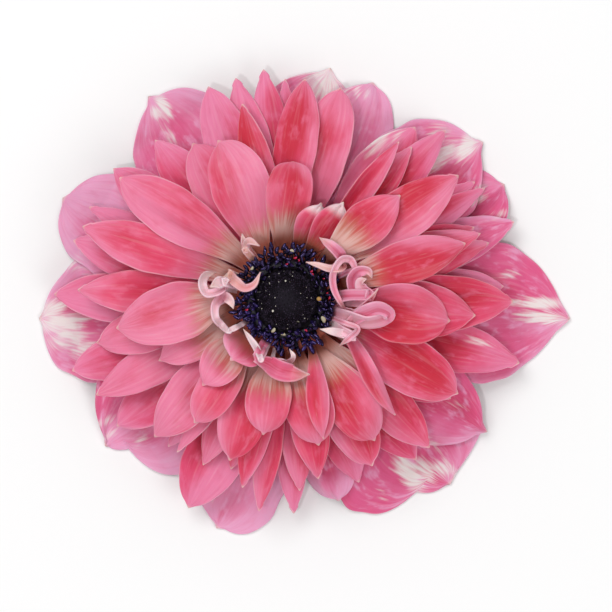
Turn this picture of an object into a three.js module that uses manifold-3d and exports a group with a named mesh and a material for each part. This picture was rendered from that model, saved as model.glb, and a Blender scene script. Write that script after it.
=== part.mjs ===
// A double anemone flower head, cut just below the bloom and laid on its outer tepals.
// Millimetres, +Z up towards the viewer, +X and +Y across the bloom.
import * as THREE from "three";
import { mergeVertices } from "three/addons/utils/BufferGeometryUtils.js";
import Module from "manifold-3d";

const wasm = await Module();
wasm.setup();

// Driving dimensions: the receptacle, its collars and the petals
const BLADE = 0.6; // thickness of a petal
const ROOT_RADIUS = 7.9; // where a petal starts, inside its collar
const CLEAR_RADIUS = 9.15; // where a petal leaves its collar
const COLLAR_INNER = 7.3;
const COLLAR_OUTER = 9.0;
const COLLAR_THICK = 1.45;
const COLLAR_PITCH = 1.8; // from one whorl's collar to the next
const COLLAR_SIDES = 24;
const FIRST_COLLAR = 3.8; // underside of the lowest collar
const COLUMN_RADIUS = 6.9; // the receptacle inside the collars
const COLUMN_FOOT = 3.3; // its underside
const COLUMN_TOP = 14.6;
const COLUMN_BEVEL = 0.4;
const COLUMN_SIDES = 28;
const STEM_RADIUS = 2.4;
const STEM_END = 0.8; // the cut end stays clear of what the head lies on
const STEM_TOP = 2.2; // where the stem starts to swell into the receptacle
const STEM_BEVEL = 0.2;
const ROOT_EVENNESS = 0.35; // how far a whorl's roots keep an even spacing, whatever the tips do
const CLAW_SHARE = 0.34; // width of a petal's claw against the petal's own
const CLAW_LEAST = 1.1;
const CLAW_FILL = 0.9; // a claw fills at most this much of the room between its neighbours
const LONGEST_CLIMB = 26; // a petal climbs with its length up to this
const TWIST = 0.12; // how far a petal may be turned about its own length

// The heart: stamens round a domed pistil
const CENTRE_FLOOR = 14.95; // underside of the pistil and of the stamens' ring
const DOME_RADIUS = 5.5;
const DOME_HEIGHT = 5.2;
const DOME_SKIRT = 0.3; // the dome stands on a straight edge of this height
const DOME_SIDES = 28;
const DOME_RINGS = 15;
const GRAIN_HEIGHT = 0.22; // of the grains that cover the dome
const STAMEN_RING = [5.95, 7.3]; // the ring that the filaments grow from
const RING_HEIGHTS = [1.3, 1.0]; // its heights at its inner and its outer edge
const STAMEN_COUNT = 80;
const STAMEN_SIDES = 3;
const STAMEN_TOP = 19.1; // nothing of the stamens stands higher
const STAMEN_RADIUS = 10.7; // nor reaches further out
const OVERHANG = 0.3; // a curled petal keeps above the stamens to this far outside them
const FILAMENT_RADIUS = 0.3;
const FOOT_SINK = 0.4; // a filament starts this far up inside the ring
const ANTHER_INNER = 6.5; // the innermost and the outermost anthers
const ANTHER_OUTER = 9.9;
const ANTHER_HEIGHT = 17.9; // of the innermost anthers
const ANTHER_FALL = 0.9; // how much lower the outermost stand
const ANTHER_WIDTH = 0.95;
const ANTHER_LENGTH = 1.5; // the shortest
const ANTHER_SPREAD = 0.4; // and how much longer they get
const ANTHER_AIR = 0.45; // kept between an anther and a curled petal
const GOLDEN_ANGLE = 2.39996;
const UNDER_ANTHERS = 11.6; // out to here a curled petal keeps below the anthers

// How the petals are laid on one another
const RING_GAP = 0.36; // air between the petals of two whorls
const PETAL_GAP = 0.14; // air between two petals of a whorl
const CELL = 0.25; // side of a cell of the height map
const MAP_HALF = 56; // the height map reaches this far each way
const NOTHING = -1000; // height where nothing lies
const FUSED_RADIUS = 11.5; // within this the claws of a whorl may grow into one another
const WIDE = 9.3; // petals wider than this have four strips across, others two
const BROAD = 22; // and past this width six
const WIDE_ROWS = [0.17, 0.36, 0.55, 0.73, 0.87, 0.96]; // rows of a petal, as shares of its free length
const SLIM_ROWS = [0.18, 0.42, 0.68, 0.88];
const RIBBON_ROWS = 1.15; // rows of a curled petal for each of its points
const SAMPLE_STEP = 0.4; // how finely a petal's faces are tried against the height map
const PASSES = 14; // the most that a petal is tried and lifted
const MOST_LIFT = 1.2; // in one pass
const LIFT_SHARE = 0.5; // of a lifted vertex's lift goes to its neighbours
const FREE_ENOUGH = 0.5; // the roots are held, and so is a face as near to them as this

const DEGREE = Math.PI / 180;
const TURN = 2 * Math.PI;

// Whorls from the lowest to the highest. `slope` is a petal's rise against its length, `droop` how far
// its tip falls again past the share `crest` of its length, and `cup` how much its sides stand up. Each
// petal gives the azimuth of its tip in degrees, how far the tip reaches from the axis, its greatest
// width, and what sets it apart, such as `axis`, the azimuth of its middle line where the tip leans off
// it. The list of a whorl runs in the order in which its petals lie on one another, the lowest first.
const WHORLS = [
  {
    name: "outer_tepals",
    colour: "#e58aa6",
    slope: 0.02,
    droop: 10.5,
    crest: 0.4,
    cup: 0.05,
    petals: [
      [356.2, 51.4, 26.4, { axis: 358.0, round: 0.4, widest: 0.6 }],
      [124.3, 44.7, 21.0, { axis: 121.0, round: 0.7, widest: 0.66 }],
      [184.3, 45.1, 23.6, { axis: 187.0, round: 0.85, widest: 0.66 }],
      [311.5, 44.6, 30.5, { axis: 309.5, round: 1, widest: 0.68, wave: 0.7 }],
      [79.5, 42.8, 20.0, { axis: 82.5, round: 0.45, widest: 0.66 }],
      [28.1, 44.6, 17.5, { axis: 26.5, round: 0.95 }],
      [218.8, 42.3, 23.5, { axis: 221.5, round: 0.95, widest: 0.68 }],
      [252.8, 43.3, 16.5, { axis: 258.5, round: 1, widest: 0.7 }],
      [284.5, 37.6, 10.0, { round: 1 }],
      [155.5, 44.7, 19.0, { axis: 157.5, round: 0.85, widest: 0.66 }],
      [68.5, 42.4, 14.5, { axis: 67.0, round: 0.85 }],
      [38.9, 45.6, 21.5, { axis: 42.0, round: 0.55, widest: 0.66 }],
      [326.6, 43.4, 16.5, { axis: 324.5, round: 0.55 }],
      [19.0, 43.4, 9.0, { round: 0.4 }],
    ],
  },
  {
    name: "lower_petals",
    colour: "#e2607c",
    slope: 0.08,
    droop: 3.4,
    crest: 0.6,
    cup: 0.25,
    petals: [
      [90.5, 40.0, 5.2, {}],
      [95.8, 41.9, 7.2, {}],
      [103.0, 41.2, 7.6, {}],
      [110.2, 41.1, 9.2, { round: 0.6 }],
      [53.5, 38.9, 10.5, { round: 0.5 }],
      [47.0, 41.9, 7.5, {}],
      [32.2, 40.1, 6.0, {}],
      [29.5, 41.0, 5.5, {}],
      [3.6, 39.2, 8.7, { round: 0.5 }],
      [344.8, 43.5, 9.5, { round: 0.3 }],
      [329.0, 34.5, 9.0, { round: 0.5 }],
      [309.0, 37.1, 9.0, { round: 0.5 }],
      [291.5, 35.4, 7.8, { round: 0.4 }],
      [271.8, 38.6, 6.3, {}],
      [244.6, 41.6, 11.2, { round: 0.7 }],
      [231.0, 34.1, 6.5, {}],
      [216.5, 38.3, 9.2, { round: 0.7 }],
      [198.2, 40.9, 8.7, { round: 0.75 }],
      [178.6, 42.1, 9.5, { round: 0.5 }],
      [164.4, 40.1, 9.0, { round: 0.4 }],
      [154.8, 39.5, 6.0, {}],
      [142.9, 39.4, 8.7, { round: 0.6 }],
      [129.5, 37.5, 8.7, { round: 0.4 }],
    ],
  },
  {
    name: "middle_petals",
    colour: "#e05a78",
    slope: 0.15,
    droop: 3.6,
    crest: 0.65,
    cup: 0.3,
    petals: [
      [75.8, 39.5, 9.2, { round: 0.85 }],
      [85.4, 40.0, 7.8, { round: 0.6 }],
      [121.0, 33.0, 9.3, { round: 0.75 }],
      [50.8, 35.6, 6.2, {}],
      [21.2, 36.2, 7.0, {}],
      [15.8, 37.8, 6.6, {}],
      [359.6, 40.8, 10.2, { round: 0.4 }],
      [314.0, 37.0, 8.4, { round: 0.4 }],
      [273.8, 34.5, 6.4, {}],
      [262.4, 38.4, 5.2, {}],
      [251.7, 32.1, 6.6, {}],
      [243.1, 33.4, 6.6, {}],
      [206.4, 38.4, 7.7, { round: 0.4 }],
      [192.7, 35.2, 8.4, { round: 0.7 }],
    ],
  },
  {
    name: "upper_petals",
    colour: "#e25674",
    slope: 0.22,
    droop: 3.4,
    crest: 0.68,
    cup: 0.35,
    petals: [
      [102.8, 36.2, 5.7, { cup: 0.5 }],
      [54.7, 34.9, 4.2, { cup: 0.9 }],
      [19.0, 36.8, 6.6, {}],
      [355.3, 34.0, 10.0, { round: 0.5 }],
      [331.3, 35.1, 10.0, { round: 0.75 }],
      [297.2, 33.6, 9.2, { round: 0.7 }],
      [279.9, 32.7, 7.0, {}],
      [256.6, 34.7, 5.6, {}],
      [234.2, 33.8, 4.0, { cup: 0.9 }],
      [225.9, 34.3, 9.2, { round: 0.5 }],
      [177.2, 37.7, 8.1, { round: 0.3 }],
      [160.2, 39.1, 8.5, { round: 0.3 }],
      [143.8, 37.3, 9.5, { round: 0.6 }],
    ],
  },
  {
    name: "inner_petals",
    colour: "#e86c8c",
    slope: 0.34,
    droop: 3.0,
    crest: 0.72,
    cup: 0.4,
    petals: [
      [36.0, 38.0, 9.2, { round: 0.3 }],
      [113.4, 31.2, 10.8, { axis: 110.0, round: 0.75 }],
      [87.3, 26.3, 8.4, { round: 0.8 }],
      [70.5, 18.5, 6.0, { round: 0.5 }],
      [60.0, 20.3, 5.5, { round: 0.5 }],
      [42.8, 27.6, 8.0, { round: 0.4 }],
      [17.6, 33.6, 8.0, { round: 0.3 }],
      [352.7, 29.5, 10.8, { round: 0.8 }],
      [309.0, 27.0, 8.0, { round: 0.4 }],
      [302.0, 29.8, 9.2, { round: 0.85 }],
      [313.3, 28.4, 3.2, { root: 342.0, cup: 0.9 }],
      [282.3, 26.7, 8.8, { round: 0.8 }],
      [284.8, 25.7, 4.2, { root: 300.0, cup: 0.9 }],
      [250.3, 30.6, 8.8, { round: 0.65 }],
      [260.0, 24.5, 8.4, { round: 0.75 }],
      [233.0, 27.6, 7.4, { round: 0.8 }],
      [205.3, 25.5, 7.3, { round: 0.4 }],
      [225.4, 21.5, 7.6, { round: 0.6 }],
      [189.3, 31.0, 10.8, { widest: 0.5, round: 0.6 }],
    ],
  },
  {
    name: "curled_petals",
    colour: "#ee9ab4",
    slope: 0.5,
    evenness: 0,
    droop: 0.6,
    crest: 0.8,
    cup: 0.3,
    petals: [
      [227.0, 14.8, 8.2, { round: 0.8, widest: 0.55 }],
    ],
  },
];

// Slender curled petals of the top whorl, each as a line of points from its root to its tip, seen
// from above. A point gives x, y, how high it stands over whatever lies beneath it there, and the
// petal's width there. `lean` tips the petal about its own length.
const RIBBONS = [
  { lean: 20, points: [[9.9, 6.8, 0.8, 1.3], [9.3, 8.2, 1.3, 2.2], [7.8, 9.7, 1.5, 1.8],
    [5.8, 11.2, 1.2, 0]] },
  { lean: 15, points: [[9.2, 5.6, 1.2, 1.4], [7.6, 5.6, 1.0, 1.3], [5.4, 6.3, 0.7, 0.9],
    [3.4, 6.8, 0.5, 0]] },
  { lean: -25, points: [[12.2, 5.6, 0.8, 1.0], [11.5, 7.2, 1.6, 1.4], [10.0, 7.4, 2.2, 1.3],
    [8.7, 6.0, 1.4, 1.2], [8.1, 4.0, 0.8, 1.3], [8.4, 1.8, 0.6, 1.2], [9.4, -0.2, 0.5, 0.9],
    [11.1, -2.4, 0.5, 0]] },
  { lean: 30, points: [[13.0, 0.2, 0.8, 2.4], [12.0, 1.8, 1.1, 3.0], [11.7, 3.8, 1.4, 2.8],
    [12.9, 5.3, 1.6, 2.2], [14.6, 5.2, 1.5, 1.6], [15.2, 3.9, 1.1, 0]] },
  { lean: -30, points: [[15.0, 0.9, 0.8, 2.2], [13.8, 1.9, 1.2, 2.6], [13.3, 3.2, 1.5, 1.8],
    [14.2, 3.8, 1.6, 0]] },
  { lean: 30, points: [[12.2, -2.0, 0.6, 0.9], [14.3, -0.5, 1.2, 1.3], [16.3, 2.0, 1.2, 0]] },
  { lean: 20, points: [[14.4, -3.9, 0.5, 2.2], [16.9, -3.4, 0.8, 2.5], [18.2, -2.6, 1.7, 2.2],
    [16.5, -1.7, 2.5, 2.5], [14.0, -2.5, 2.4, 2.8], [11.6, -4.0, 1.6, 1.8], [9.3, -6.5, 0.9, 0]] },
  { lean: 15, points: [[12.0, -6.6, 0.6, 1.7], [10.4, -6.2, 0.9, 1.7], [8.3, -5.7, 0.8, 1.4],
    [5.9, -5.2, 0.5, 0]] },
  { lean: -15, points: [[12.6, -5.0, 1.0, 0.9], [11.2, -6.7, 1.2, 1.1], [9.4, -8.2, 0.9, 0]] },
  { lean: 20, points: [[-10.4, -5.6, 0.7, 0.9], [-11.7, -4.6, 0.9, 1.3], [-12.9, -3.0, 1.2, 1.4],
    [-12.9, -0.9, 1.5, 1.6], [-11.6, 0.5, 1.7, 2.0], [-10.1, -0.1, 1.2, 1.6], [-9.6, -1.6, 0.8, 0]] },
  { lean: 20, points: [[-11.2, 2.0, 0.6, 0.9], [-12.8, 1.3, 0.9, 1.5], [-14.4, 1.2, 1.2, 1.5],
    [-15.2, 2.7, 1.5, 1.6], [-14.6, 4.4, 1.5, 1.4], [-12.9, 4.9, 1.1, 0]] },
  { lean: -20, points: [[-11.0, 3.2, 0.9, 1.4], [-12.4, 3.2, 1.2, 2.3], [-13.7, 2.3, 1.2, 0]] },
  { lean: 10, points: [[-10.2, 4.4, 0.9, 1.9], [-9.0, 3.2, 0.8, 1.8], [-7.6, 2.2, 0.6, 1.4],
    [-6.0, 2.7, 0.6, 1.1], [-4.7, 5.0, 0.5, 0]] },
  { lean: 15, points: [[-6.9, 9.3, 0.7, 0.9], [-7.7, 10.3, 1.2, 1.2], [-8.0, 11.9, 1.3, 0]] },
  { lean: -20, points: [[-7.4, 9.0, 1.0, 1.3], [-6.8, 10.4, 1.6, 1.5], [-4.9, 9.7, 1.2, 0]] },
  { lean: 15, points: [[-5.4, -10.3, 0.7, 1.6], [-3.4, -11.2, 1.2, 2.8], [-1.2, -12.4, 1.5, 3.6],
    [1.2, -13.0, 1.5, 3.0], [4.0, -13.3, 1.0, 0]] },
  { lean: 20, points: [[-2.7, -11.0, 0.8, 0.7], [-1.2, -10.9, 0.9, 1.0], [0.1, -11.2, 1.2, 1.1],
    [1.1, -9.9, 0.9, 0.8], [0.5, -8.8, 0.6, 0]] },
  { lean: 0, points: [[-4.6, -10.6, 0.7, 1.0], [-5.4, -8.6, 0.8, 1.2], [-6.6, -6.8, 0.7, 0.9],
    [-7.8, -5.2, 0.5, 0]] },
];

// A repeatable stream of numbers from 0 to 1
function makeRandom(seed) {
  let state = seed;
  return () => {
    state = (state * 1664525 + 1013904223) % 4294967296;
    return state / 4294967296;
  };
}

// A map of heights seen from above, in square cells
class HeightMap {
  constructor() {
    this.side = Math.round((2 * MAP_HALF) / CELL);
    this.cells = new Float64Array(this.side * this.side).fill(NOTHING);
  }

  index(value) {
    return Math.min(this.side - 1, Math.max(0, Math.floor((value + MAP_HALF) / CELL)));
  }

  raise(x, y, z) {
    const at = this.index(y) * this.side + this.index(x);
    this.cells[at] = Math.max(this.cells[at], z);
  }

  // The greatest height in the cell at x, y and in the eight round it
  read(x, y) {
    const column = this.index(x);
    const row = this.index(y);
    let top = NOTHING;
    for (let j = Math.max(0, row - 1); j <= Math.min(this.side - 1, row + 1); j++) {
      for (let i = Math.max(0, column - 1); i <= Math.min(this.side - 1, column + 1); i++) {
        top = Math.max(top, this.cells[j * this.side + i]);
      }
    }
    return top;
  }

  absorb(other) {
    for (let i = 0; i < this.cells.length; i++) {
      this.cells[i] = Math.max(this.cells[i], other.cells[i]);
    }
  }
}

// Triangles of a sheet of rows of points: the last row may be a single point, the tip
function sheetTriangles(rows) {
  const starts = [];
  let count = 0;
  for (const row of rows) {
    starts.push(count);
    count += row.length;
  }
  const triangles = [];
  for (let i = 0; i + 1 < rows.length; i++) {
    const across = rows[i].length - 1;
    const here = starts[i];
    const next = starts[i + 1];
    for (let j = 0; j < across; j++) {
      if (rows[i + 1].length === 1) {
        triangles.push([here + j, next, here + j + 1]);
      } else if (j < across / 2) {
        triangles.push([here + j, next + j, next + j + 1]);
        triangles.push([here + j, next + j + 1, here + j + 1]);
      } else {
        triangles.push([here + j, next + j, here + j + 1]);
        triangles.push([here + j + 1, next + j, next + j + 1]);
      }
    }
  }
  return triangles;
}

// The two faces of a blade: its middle sheet moved half the thickness along the normals
function bladeFaces(points, triangles) {
  const normals = points.map(() => new THREE.Vector3());
  const edge1 = new THREE.Vector3();
  const edge2 = new THREE.Vector3();
  for (const [a, b, c] of triangles) {
    edge1.subVectors(points[b], points[a]);
    edge2.subVectors(points[c], points[a]);
    edge1.cross(edge2);
    for (const corner of [a, b, c]) {
      normals[corner].add(edge1);
    }
  }
  const top = [];
  const bottom = [];
  points.forEach((point, i) => {
    normals[i].normalize().multiplyScalar(BLADE / 2);
    top.push(point.clone().add(normals[i]));
    bottom.push(point.clone().sub(normals[i]));
  });
  return { top, bottom };
}

// A closed blade from its middle sheet
function bladeSolid(points, triangles) {
  const { top, bottom } = bladeFaces(points, triangles);
  const count = points.length;
  const faces = [];
  const edges = new Set();
  for (const [a, b, c] of triangles) {
    faces.push([a, b, c]);
    faces.push([a + count, c + count, b + count]);
    for (const [from, to] of [[a, b], [b, c], [c, a]]) {
      edges.add(`${from},${to}`);
    }
  }
  for (const name of edges) {
    const [from, to] = name.split(",").map(Number);
    if (!edges.has(`${to},${from}`)) {
      faces.push([to, from, from + count]);
      faces.push([to, from + count, to + count]);
    }
  }
  return solidFrom([...top, ...bottom], faces);
}

// A solid from points and triangles
function solidFrom(points, triangles) {
  const vertProperties = new Float32Array(points.length * 3);
  points.forEach((point, i) => point.toArray(vertProperties, i * 3));
  const triVerts = new Uint32Array(triangles.flat());
  return new wasm.Manifold(new wasm.Mesh({ numProp: 3, vertProperties, triVerts }));
}

// A solid from a closed geometry
function solidOf(geometry) {
  geometry.deleteAttribute("normal");
  geometry.deleteAttribute("uv");
  const merged = mergeVertices(geometry, 1e-4);
  const points = [];
  for (let i = 0; i < merged.attributes.position.count; i++) {
    points.push(new THREE.Vector3().fromBufferAttribute(merged.attributes.position, i));
  }
  const triangles = [];
  for (let i = 0; i < merged.index.count; i += 3) {
    const corners = [merged.index.getX(i), merged.index.getX(i + 1), merged.index.getX(i + 2)];
    if (new Set(corners).size === 3) {
      triangles.push(corners);
    }
  }
  return solidFrom(points, triangles);
}

// A turned solid about Z from a closed outline of radius and height
function turned(outline, sides) {
  const geometry = new THREE.LatheGeometry(outline.map(([r, z]) => new THREE.Vector2(r, z)), sides);
  geometry.rotateX(Math.PI / 2);
  return solidOf(geometry);
}

function collarBase(whorl) {
  return FIRST_COLLAR + COLLAR_PITCH * whorl;
}

function collar(whorl) {
  const low = collarBase(whorl);
  const high = low + COLLAR_THICK;
  return turned([[COLLAR_INNER, low], [COLLAR_OUTER, low], [COLLAR_OUTER, high],
    [COLLAR_INNER, high], [COLLAR_INNER, low]], COLLAR_SIDES);
}

// Where the petals of a whorl start round the axis: about evenly, in the order of their tips
function rootAzimuths({ petals, evenness = ROOT_EVENNESS }) {
  const axes = petals.map(([tip, , , own]) => own.axis ?? tip);
  const order = axes.map((axis, i) => i).sort((a, b) => axes[a] - axes[b]);
  const step = 360 / petals.length;
  let offset = 0;
  order.forEach((i, rank) => {
    offset += (axes[i] - rank * step) / petals.length;
  });
  const roots = [];
  order.forEach((i, rank) => {
    const even = offset + rank * step;
    roots[i] = petals[i][3].root ?? axes[i] + evenness * (even - axes[i]);
  });
  const claws = [];
  order.forEach((i, rank) => {
    const before = roots[order[(rank + petals.length - 1) % petals.length]];
    const after = roots[order[(rank + 1) % petals.length]];
    const gap = Math.min(angleBetween(before, roots[i]), angleBetween(roots[i], after)) || 360;
    const room = CLAW_FILL * gap * DEGREE * CLEAR_RADIUS;
    claws[i] = Math.min(CLAW_SHARE * petals[i][2], Math.max(CLAW_LEAST, room));
  });
  return { roots, claws };
}

function angleBetween(from, to) {
  return (((to - from) % 360) + 360) % 360;
}

// Half the width of a petal at a share t of its length
function halfWidth(petal, t) {
  const full = petal.width / 2;
  const claw = petal.claw / 2;
  if (t < petal.widest) {
    return claw + (full - claw) * Math.sin((t / petal.widest) * (Math.PI / 2)) ** 2;
  }
  const u = (t - petal.widest) / (1 - petal.widest);
  return full * (1 - u ** (1.7 + 0.8 * petal.round)) ** (0.95 - 0.45 * petal.round);
}

// The centre line of a petal seen from above, as a point and the direction in which it runs
function centreLine(petal, t) {
  const place = (share) => {
    const swing = petal.swing * (1 - (1 - share) ** 2) + petal.lean * share ** 3;
    const azimuth = (petal.root + swing) * DEGREE;
    const radius = ROOT_RADIUS + (petal.reach - ROOT_RADIUS) * share;
    return [radius * Math.cos(azimuth), radius * Math.sin(azimuth)];
  };
  const [x, y] = place(t);
  const [x1, y1] = place(Math.max(0, t - 0.02));
  const [x2, y2] = place(Math.min(1, t + 0.02));
  const length = Math.hypot(x2 - x1, y2 - y1);
  return { x, y, along: [(x2 - x1) / length, (y2 - y1) / length] };
}

function angleAcross(from, to) {
  return angleBetween(from + 180, to) - 180;
}

// How high the middle sheet of a petal stands at a share t of its length and s of its half width
function sheetHeight(petal, s, t) {
  const length = Math.min(LONGEST_CLIMB, petal.reach - ROOT_RADIUS);
  const free = Math.max(0, (t - petal.clear) / (petal.crest - petal.clear));
  const climb = petal.slope * length * Math.sin((Math.PI / 2) * Math.min(1, free)) ** 1.15;
  const fall = petal.droop * Math.max(0, (t - petal.crest) / (1 - petal.crest)) ** 2;
  const half = halfWidth(petal, t);
  const opening = Math.sin(Math.PI * Math.min(1, t * 1.1) ** 0.8);
  const cup = petal.cup * half * s * s * Math.max(0, opening);
  const lean = petal.twist * s * half * t;
  const wave = petal.wave * Math.sin(TURN * (1.6 * t + petal.phase)) * s * Math.abs(s) * t;
  return Math.max(BLADE / 2, petal.base + climb - fall + cup + lean + wave);
}

// The rows of a petal's middle sheet, from its root to its tip
function petalRows(petal) {
  const clear = petal.clear;
  const shares = petal.width > WIDE ? WIDE_ROWS : SLIM_ROWS;
  const stations = [0, clear, ...shares.map((share) => clear + (1 - clear) * share), 1];
  const across = petal.width > BROAD ? 6 : petal.width > WIDE ? 4 : 2;
  return stations.map((t) => {
    const { x, y, along } = centreLine(petal, t);
    const half = halfWidth(petal, t);
    const columns = t === 1 ? 0 : across;
    const row = [];
    for (let j = 0; j <= columns; j++) {
      const s = columns === 0 ? 0 : (2 * j) / columns - 1;
      row.push(new THREE.Vector3(x - along[1] * s * half, y + along[0] * s * half,
        sheetHeight(petal, s, t)));
    }
    return row;
  });
}

// Points spread over a triangle, each with its shares of the three corners
function overTriangle(a, b, c, step, visit) {
  const span = (p, q) => Math.hypot(p.x - q.x, p.y - q.y);
  const parts = Math.max(1, Math.ceil(Math.max(span(a, b), span(b, c), span(c, a)) / step));
  for (let i = 0; i <= parts; i++) {
    for (let j = 0; i + j <= parts; j++) {
      const shares = [i / parts, j / parts, (parts - i - j) / parts];
      visit(
        a.x * shares[0] + b.x * shares[1] + c.x * shares[2],
        a.y * shares[0] + b.y * shares[1] + c.y * shares[2],
        a.z * shares[0] + b.z * shares[1] + c.z * shares[2],
        shares,
      );
    }
  }
}

// Lifts the free rows of a sheet until its underside is clear of what lies beneath it
function drape(rows, held, below, beside) {
  const triangles = sheetTriangles(rows);
  const points = rows.flat();
  const pinned = rows.slice(0, held).flat().length;
  for (let pass = 0; pass < PASSES; pass++) {
    const lift = new Float64Array(points.length);
    const { bottom } = bladeFaces(points, triangles);
    let worst = 0;
    for (const corners of triangles) {
      const [a, b, c] = corners.map((i) => bottom[i]);
      const free = corners.map((i) => (i < pinned ? 0 : 1));
      overTriangle(a, b, c, SAMPLE_STEP, (x, y, z, shares) => {
        const moved = shares.map((share, k) => share * free[k]);
        const spread = moved[0] ** 2 + moved[1] ** 2 + moved[2] ** 2;
        const apart = Math.hypot(x, y) > FUSED_RADIUS ? beside.read(x, y) + PETAL_GAP : NOTHING;
        const need = Math.max(below.read(x, y) + RING_GAP, apart) - z;
        if (need > 0.001 && moved[0] + moved[1] + moved[2] > FREE_ENOUGH) {
          worst = Math.max(worst, need);
          corners.forEach((i, k) => {
            lift[i] = Math.max(lift[i], Math.min(MOST_LIFT, (need * moved[k]) / spread));
          });
        }
      });
    }
    if (worst === 0) {
      break;
    }
    shareLift(rows, lift);
    points.forEach((point, i) => {
      if (i >= pinned) {
        point.z += lift[i];
      }
    });
  }
  return { points, triangles };
}

// Passes part of each vertex's lift on along the petal, so that a petal bends and doesn't crease
function shareLift(rows, lift) {
  const before = lift.slice();
  let start = 0;
  const starts = rows.map((row) => {
    start += row.length;
    return start - row.length;
  });
  rows.forEach((row, i) => {
    row.forEach((point, j) => {
      const here = starts[i] + j;
      const near = [];
      for (const k of [i - 1, i + 1].filter((n) => rows[n])) {
        near.push(starts[k] + Math.min(j, rows[k].length - 1));
      }
      for (const other of near) {
        lift[here] = Math.max(lift[here], LIFT_SHARE * before[other]);
      }
    });
  });
}

function rasterise(points, triangles, map) {
  const { top } = bladeFaces(points, triangles);
  for (const corners of triangles) {
    const [a, b, c] = corners.map((i) => top[i]);
    overTriangle(a, b, c, SAMPLE_STEP / 2, (x, y, z) => map.raise(x, y, z));
  }
}

// All petals of a whorl as draped sheets, each lying on those before it
function drapedPetals(whorl, index, below) {
  const random = makeRandom(101 + 17 * index);
  const { roots, claws } = rootAzimuths(whorl);
  const beside = new HeightMap();
  const sheets = whorl.petals.map(([tip, reach, width, own], i) => {
    const petal = {
      reach, width,
      swing: angleAcross(roots[i], own.axis ?? tip),
      lean: angleAcross(own.axis ?? tip, tip),
      root: roots[i],
      claw: claws[i],
      clear: (CLEAR_RADIUS - ROOT_RADIUS) / (reach - ROOT_RADIUS),
      base: collarBase(index) + COLLAR_THICK / 2,
      slope: whorl.slope,
      droop: whorl.droop,
      crest: whorl.crest,
      cup: whorl.cup,
      round: 0.25,
      widest: 0.6,
      wave: 0.3,
      twist: TWIST * (random() - 0.5),
      phase: random(),
      ...own,
    };
    const sheet = drape(petalRows(petal), 2, below, beside);
    rasterise(sheet.points, sheet.triangles, beside);
    return sheet;
  });
  below.absorb(beside);
  return sheets;
}

// A slender curled petal: out of its collar, under the anthers, up and along its points
function ribbonRows(ribbon, below) {
  const [x0, y0] = ribbon.points[0];
  const out = new THREE.Vector2(x0, y0).normalize();
  const at = (radius, z) => new THREE.Vector3(out.x * radius, out.y * radius, z);
  const start = collarBase(WHORLS.length - 1) + COLLAR_THICK / 2;
  const lowPart = [at(ROOT_RADIUS, start), at(CLEAR_RADIUS, start + 0.1)];
  for (const radius of [UNDER_ANTHERS - 1.2, UNDER_ANTHERS]) {
    const ground = below.read(out.x * radius, out.y * radius) + RING_GAP + BLADE;
    lowPart.push(at(radius, Math.max(start + 0.6 * (radius - CLEAR_RADIUS), ground)));
  }
  const highPart = ribbon.points.map(([x, y, height]) => {
    const floor = Math.max(below.read(x, y), stamenFloor(x, y));
    return new THREE.Vector3(x, y, floor + height + BLADE / 2 + RING_GAP);
  });
  const curve = new THREE.CatmullRomCurve3([...lowPart, ...highPart], false, "centripetal");
  const steps = Math.round(RIBBON_ROWS * highPart.length);
  const spans = lowPart.length + highPart.length - 1;
  const stations = [0, 1 / spans];
  for (let i = 1; i <= steps; i++) {
    stations.push(stations[1] + ((1 - stations[1]) * i) / steps);
  }
  const widths = [...lowPart.map(() => ribbon.points[0][3]), ...ribbon.points.map((point) => point[3])];
  const widthAt = (t) => {
    const i = Math.min(spans - 1, Math.floor(t * spans));
    return widths[i] + (widths[i + 1] - widths[i]) * (t * spans - i);
  };
  const up = new THREE.Vector3(0, 0, 1);
  return stations.map((t) => {
    const middle = curve.getPoint(t);
    const along = curve.getTangent(t);
    const side = new THREE.Vector3().crossVectors(up, along).normalize();
    side.applyAxisAngle(along, ribbon.lean * DEGREE * Math.min(1, 2 * t));
    const half = widthAt(t) / 2;
    return t === 1 ? [middle] : [-1, 1].map((s) => middle.clone().addScaledVector(side, s * half));
  });
}

// What a petal over the stamens must stay above
function stamenFloor(x, y) {
  return Math.hypot(x, y) < STAMEN_RADIUS + OVERHANG ? STAMEN_TOP : NOTHING;
}

// One stamen: a slim filament from its foot, and a grain-shaped anther across its end
function stamenSolid(foot, middle, direction, length, width, stalkRadius) {
  const stalk = new THREE.Vector3().subVectors(middle, foot).normalize();
  const rings = [
    [foot, stalk, stalkRadius],
    [middle.clone().addScaledVector(direction, -0.5 * length), stalk.clone().add(direction), stalkRadius],
    [middle.clone().addScaledVector(direction, 0.1 * length), direction, width / 2],
  ];
  const points = [];
  for (const [centre, axis, radius] of rings) {
    const forward = axis.clone().normalize();
    const other = new THREE.Vector3(-middle.y, middle.x, 0).cross(forward).normalize();
    const side = new THREE.Vector3().crossVectors(other, forward);
    for (let k = 0; k < STAMEN_SIDES; k++) {
      const angle = (k * TURN) / STAMEN_SIDES;
      points.push(centre.clone().addScaledVector(side, radius * Math.cos(angle))
        .addScaledVector(other, radius * Math.sin(angle)));
    }
  }
  const tip = points.push(middle.clone().addScaledVector(direction, 0.5 * length)) - 1;
  const faces = [];
  for (let k = 0; k < STAMEN_SIDES; k++) {
    const next = (k + 1) % STAMEN_SIDES;
    for (const low of [0, STAMEN_SIDES]) {
      faces.push([low + k, low + next, low + STAMEN_SIDES + next]);
      faces.push([low + k, low + STAMEN_SIDES + next, low + STAMEN_SIDES + k]);
    }
    faces.push([2 * STAMEN_SIDES + k, 2 * STAMEN_SIDES + next, tip]);
    if (k > 0 && k + 1 < STAMEN_SIDES) {
      faces.push([0, k + 1, k]);
    }
  }
  return solidFrom(points, faces);
}

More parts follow.
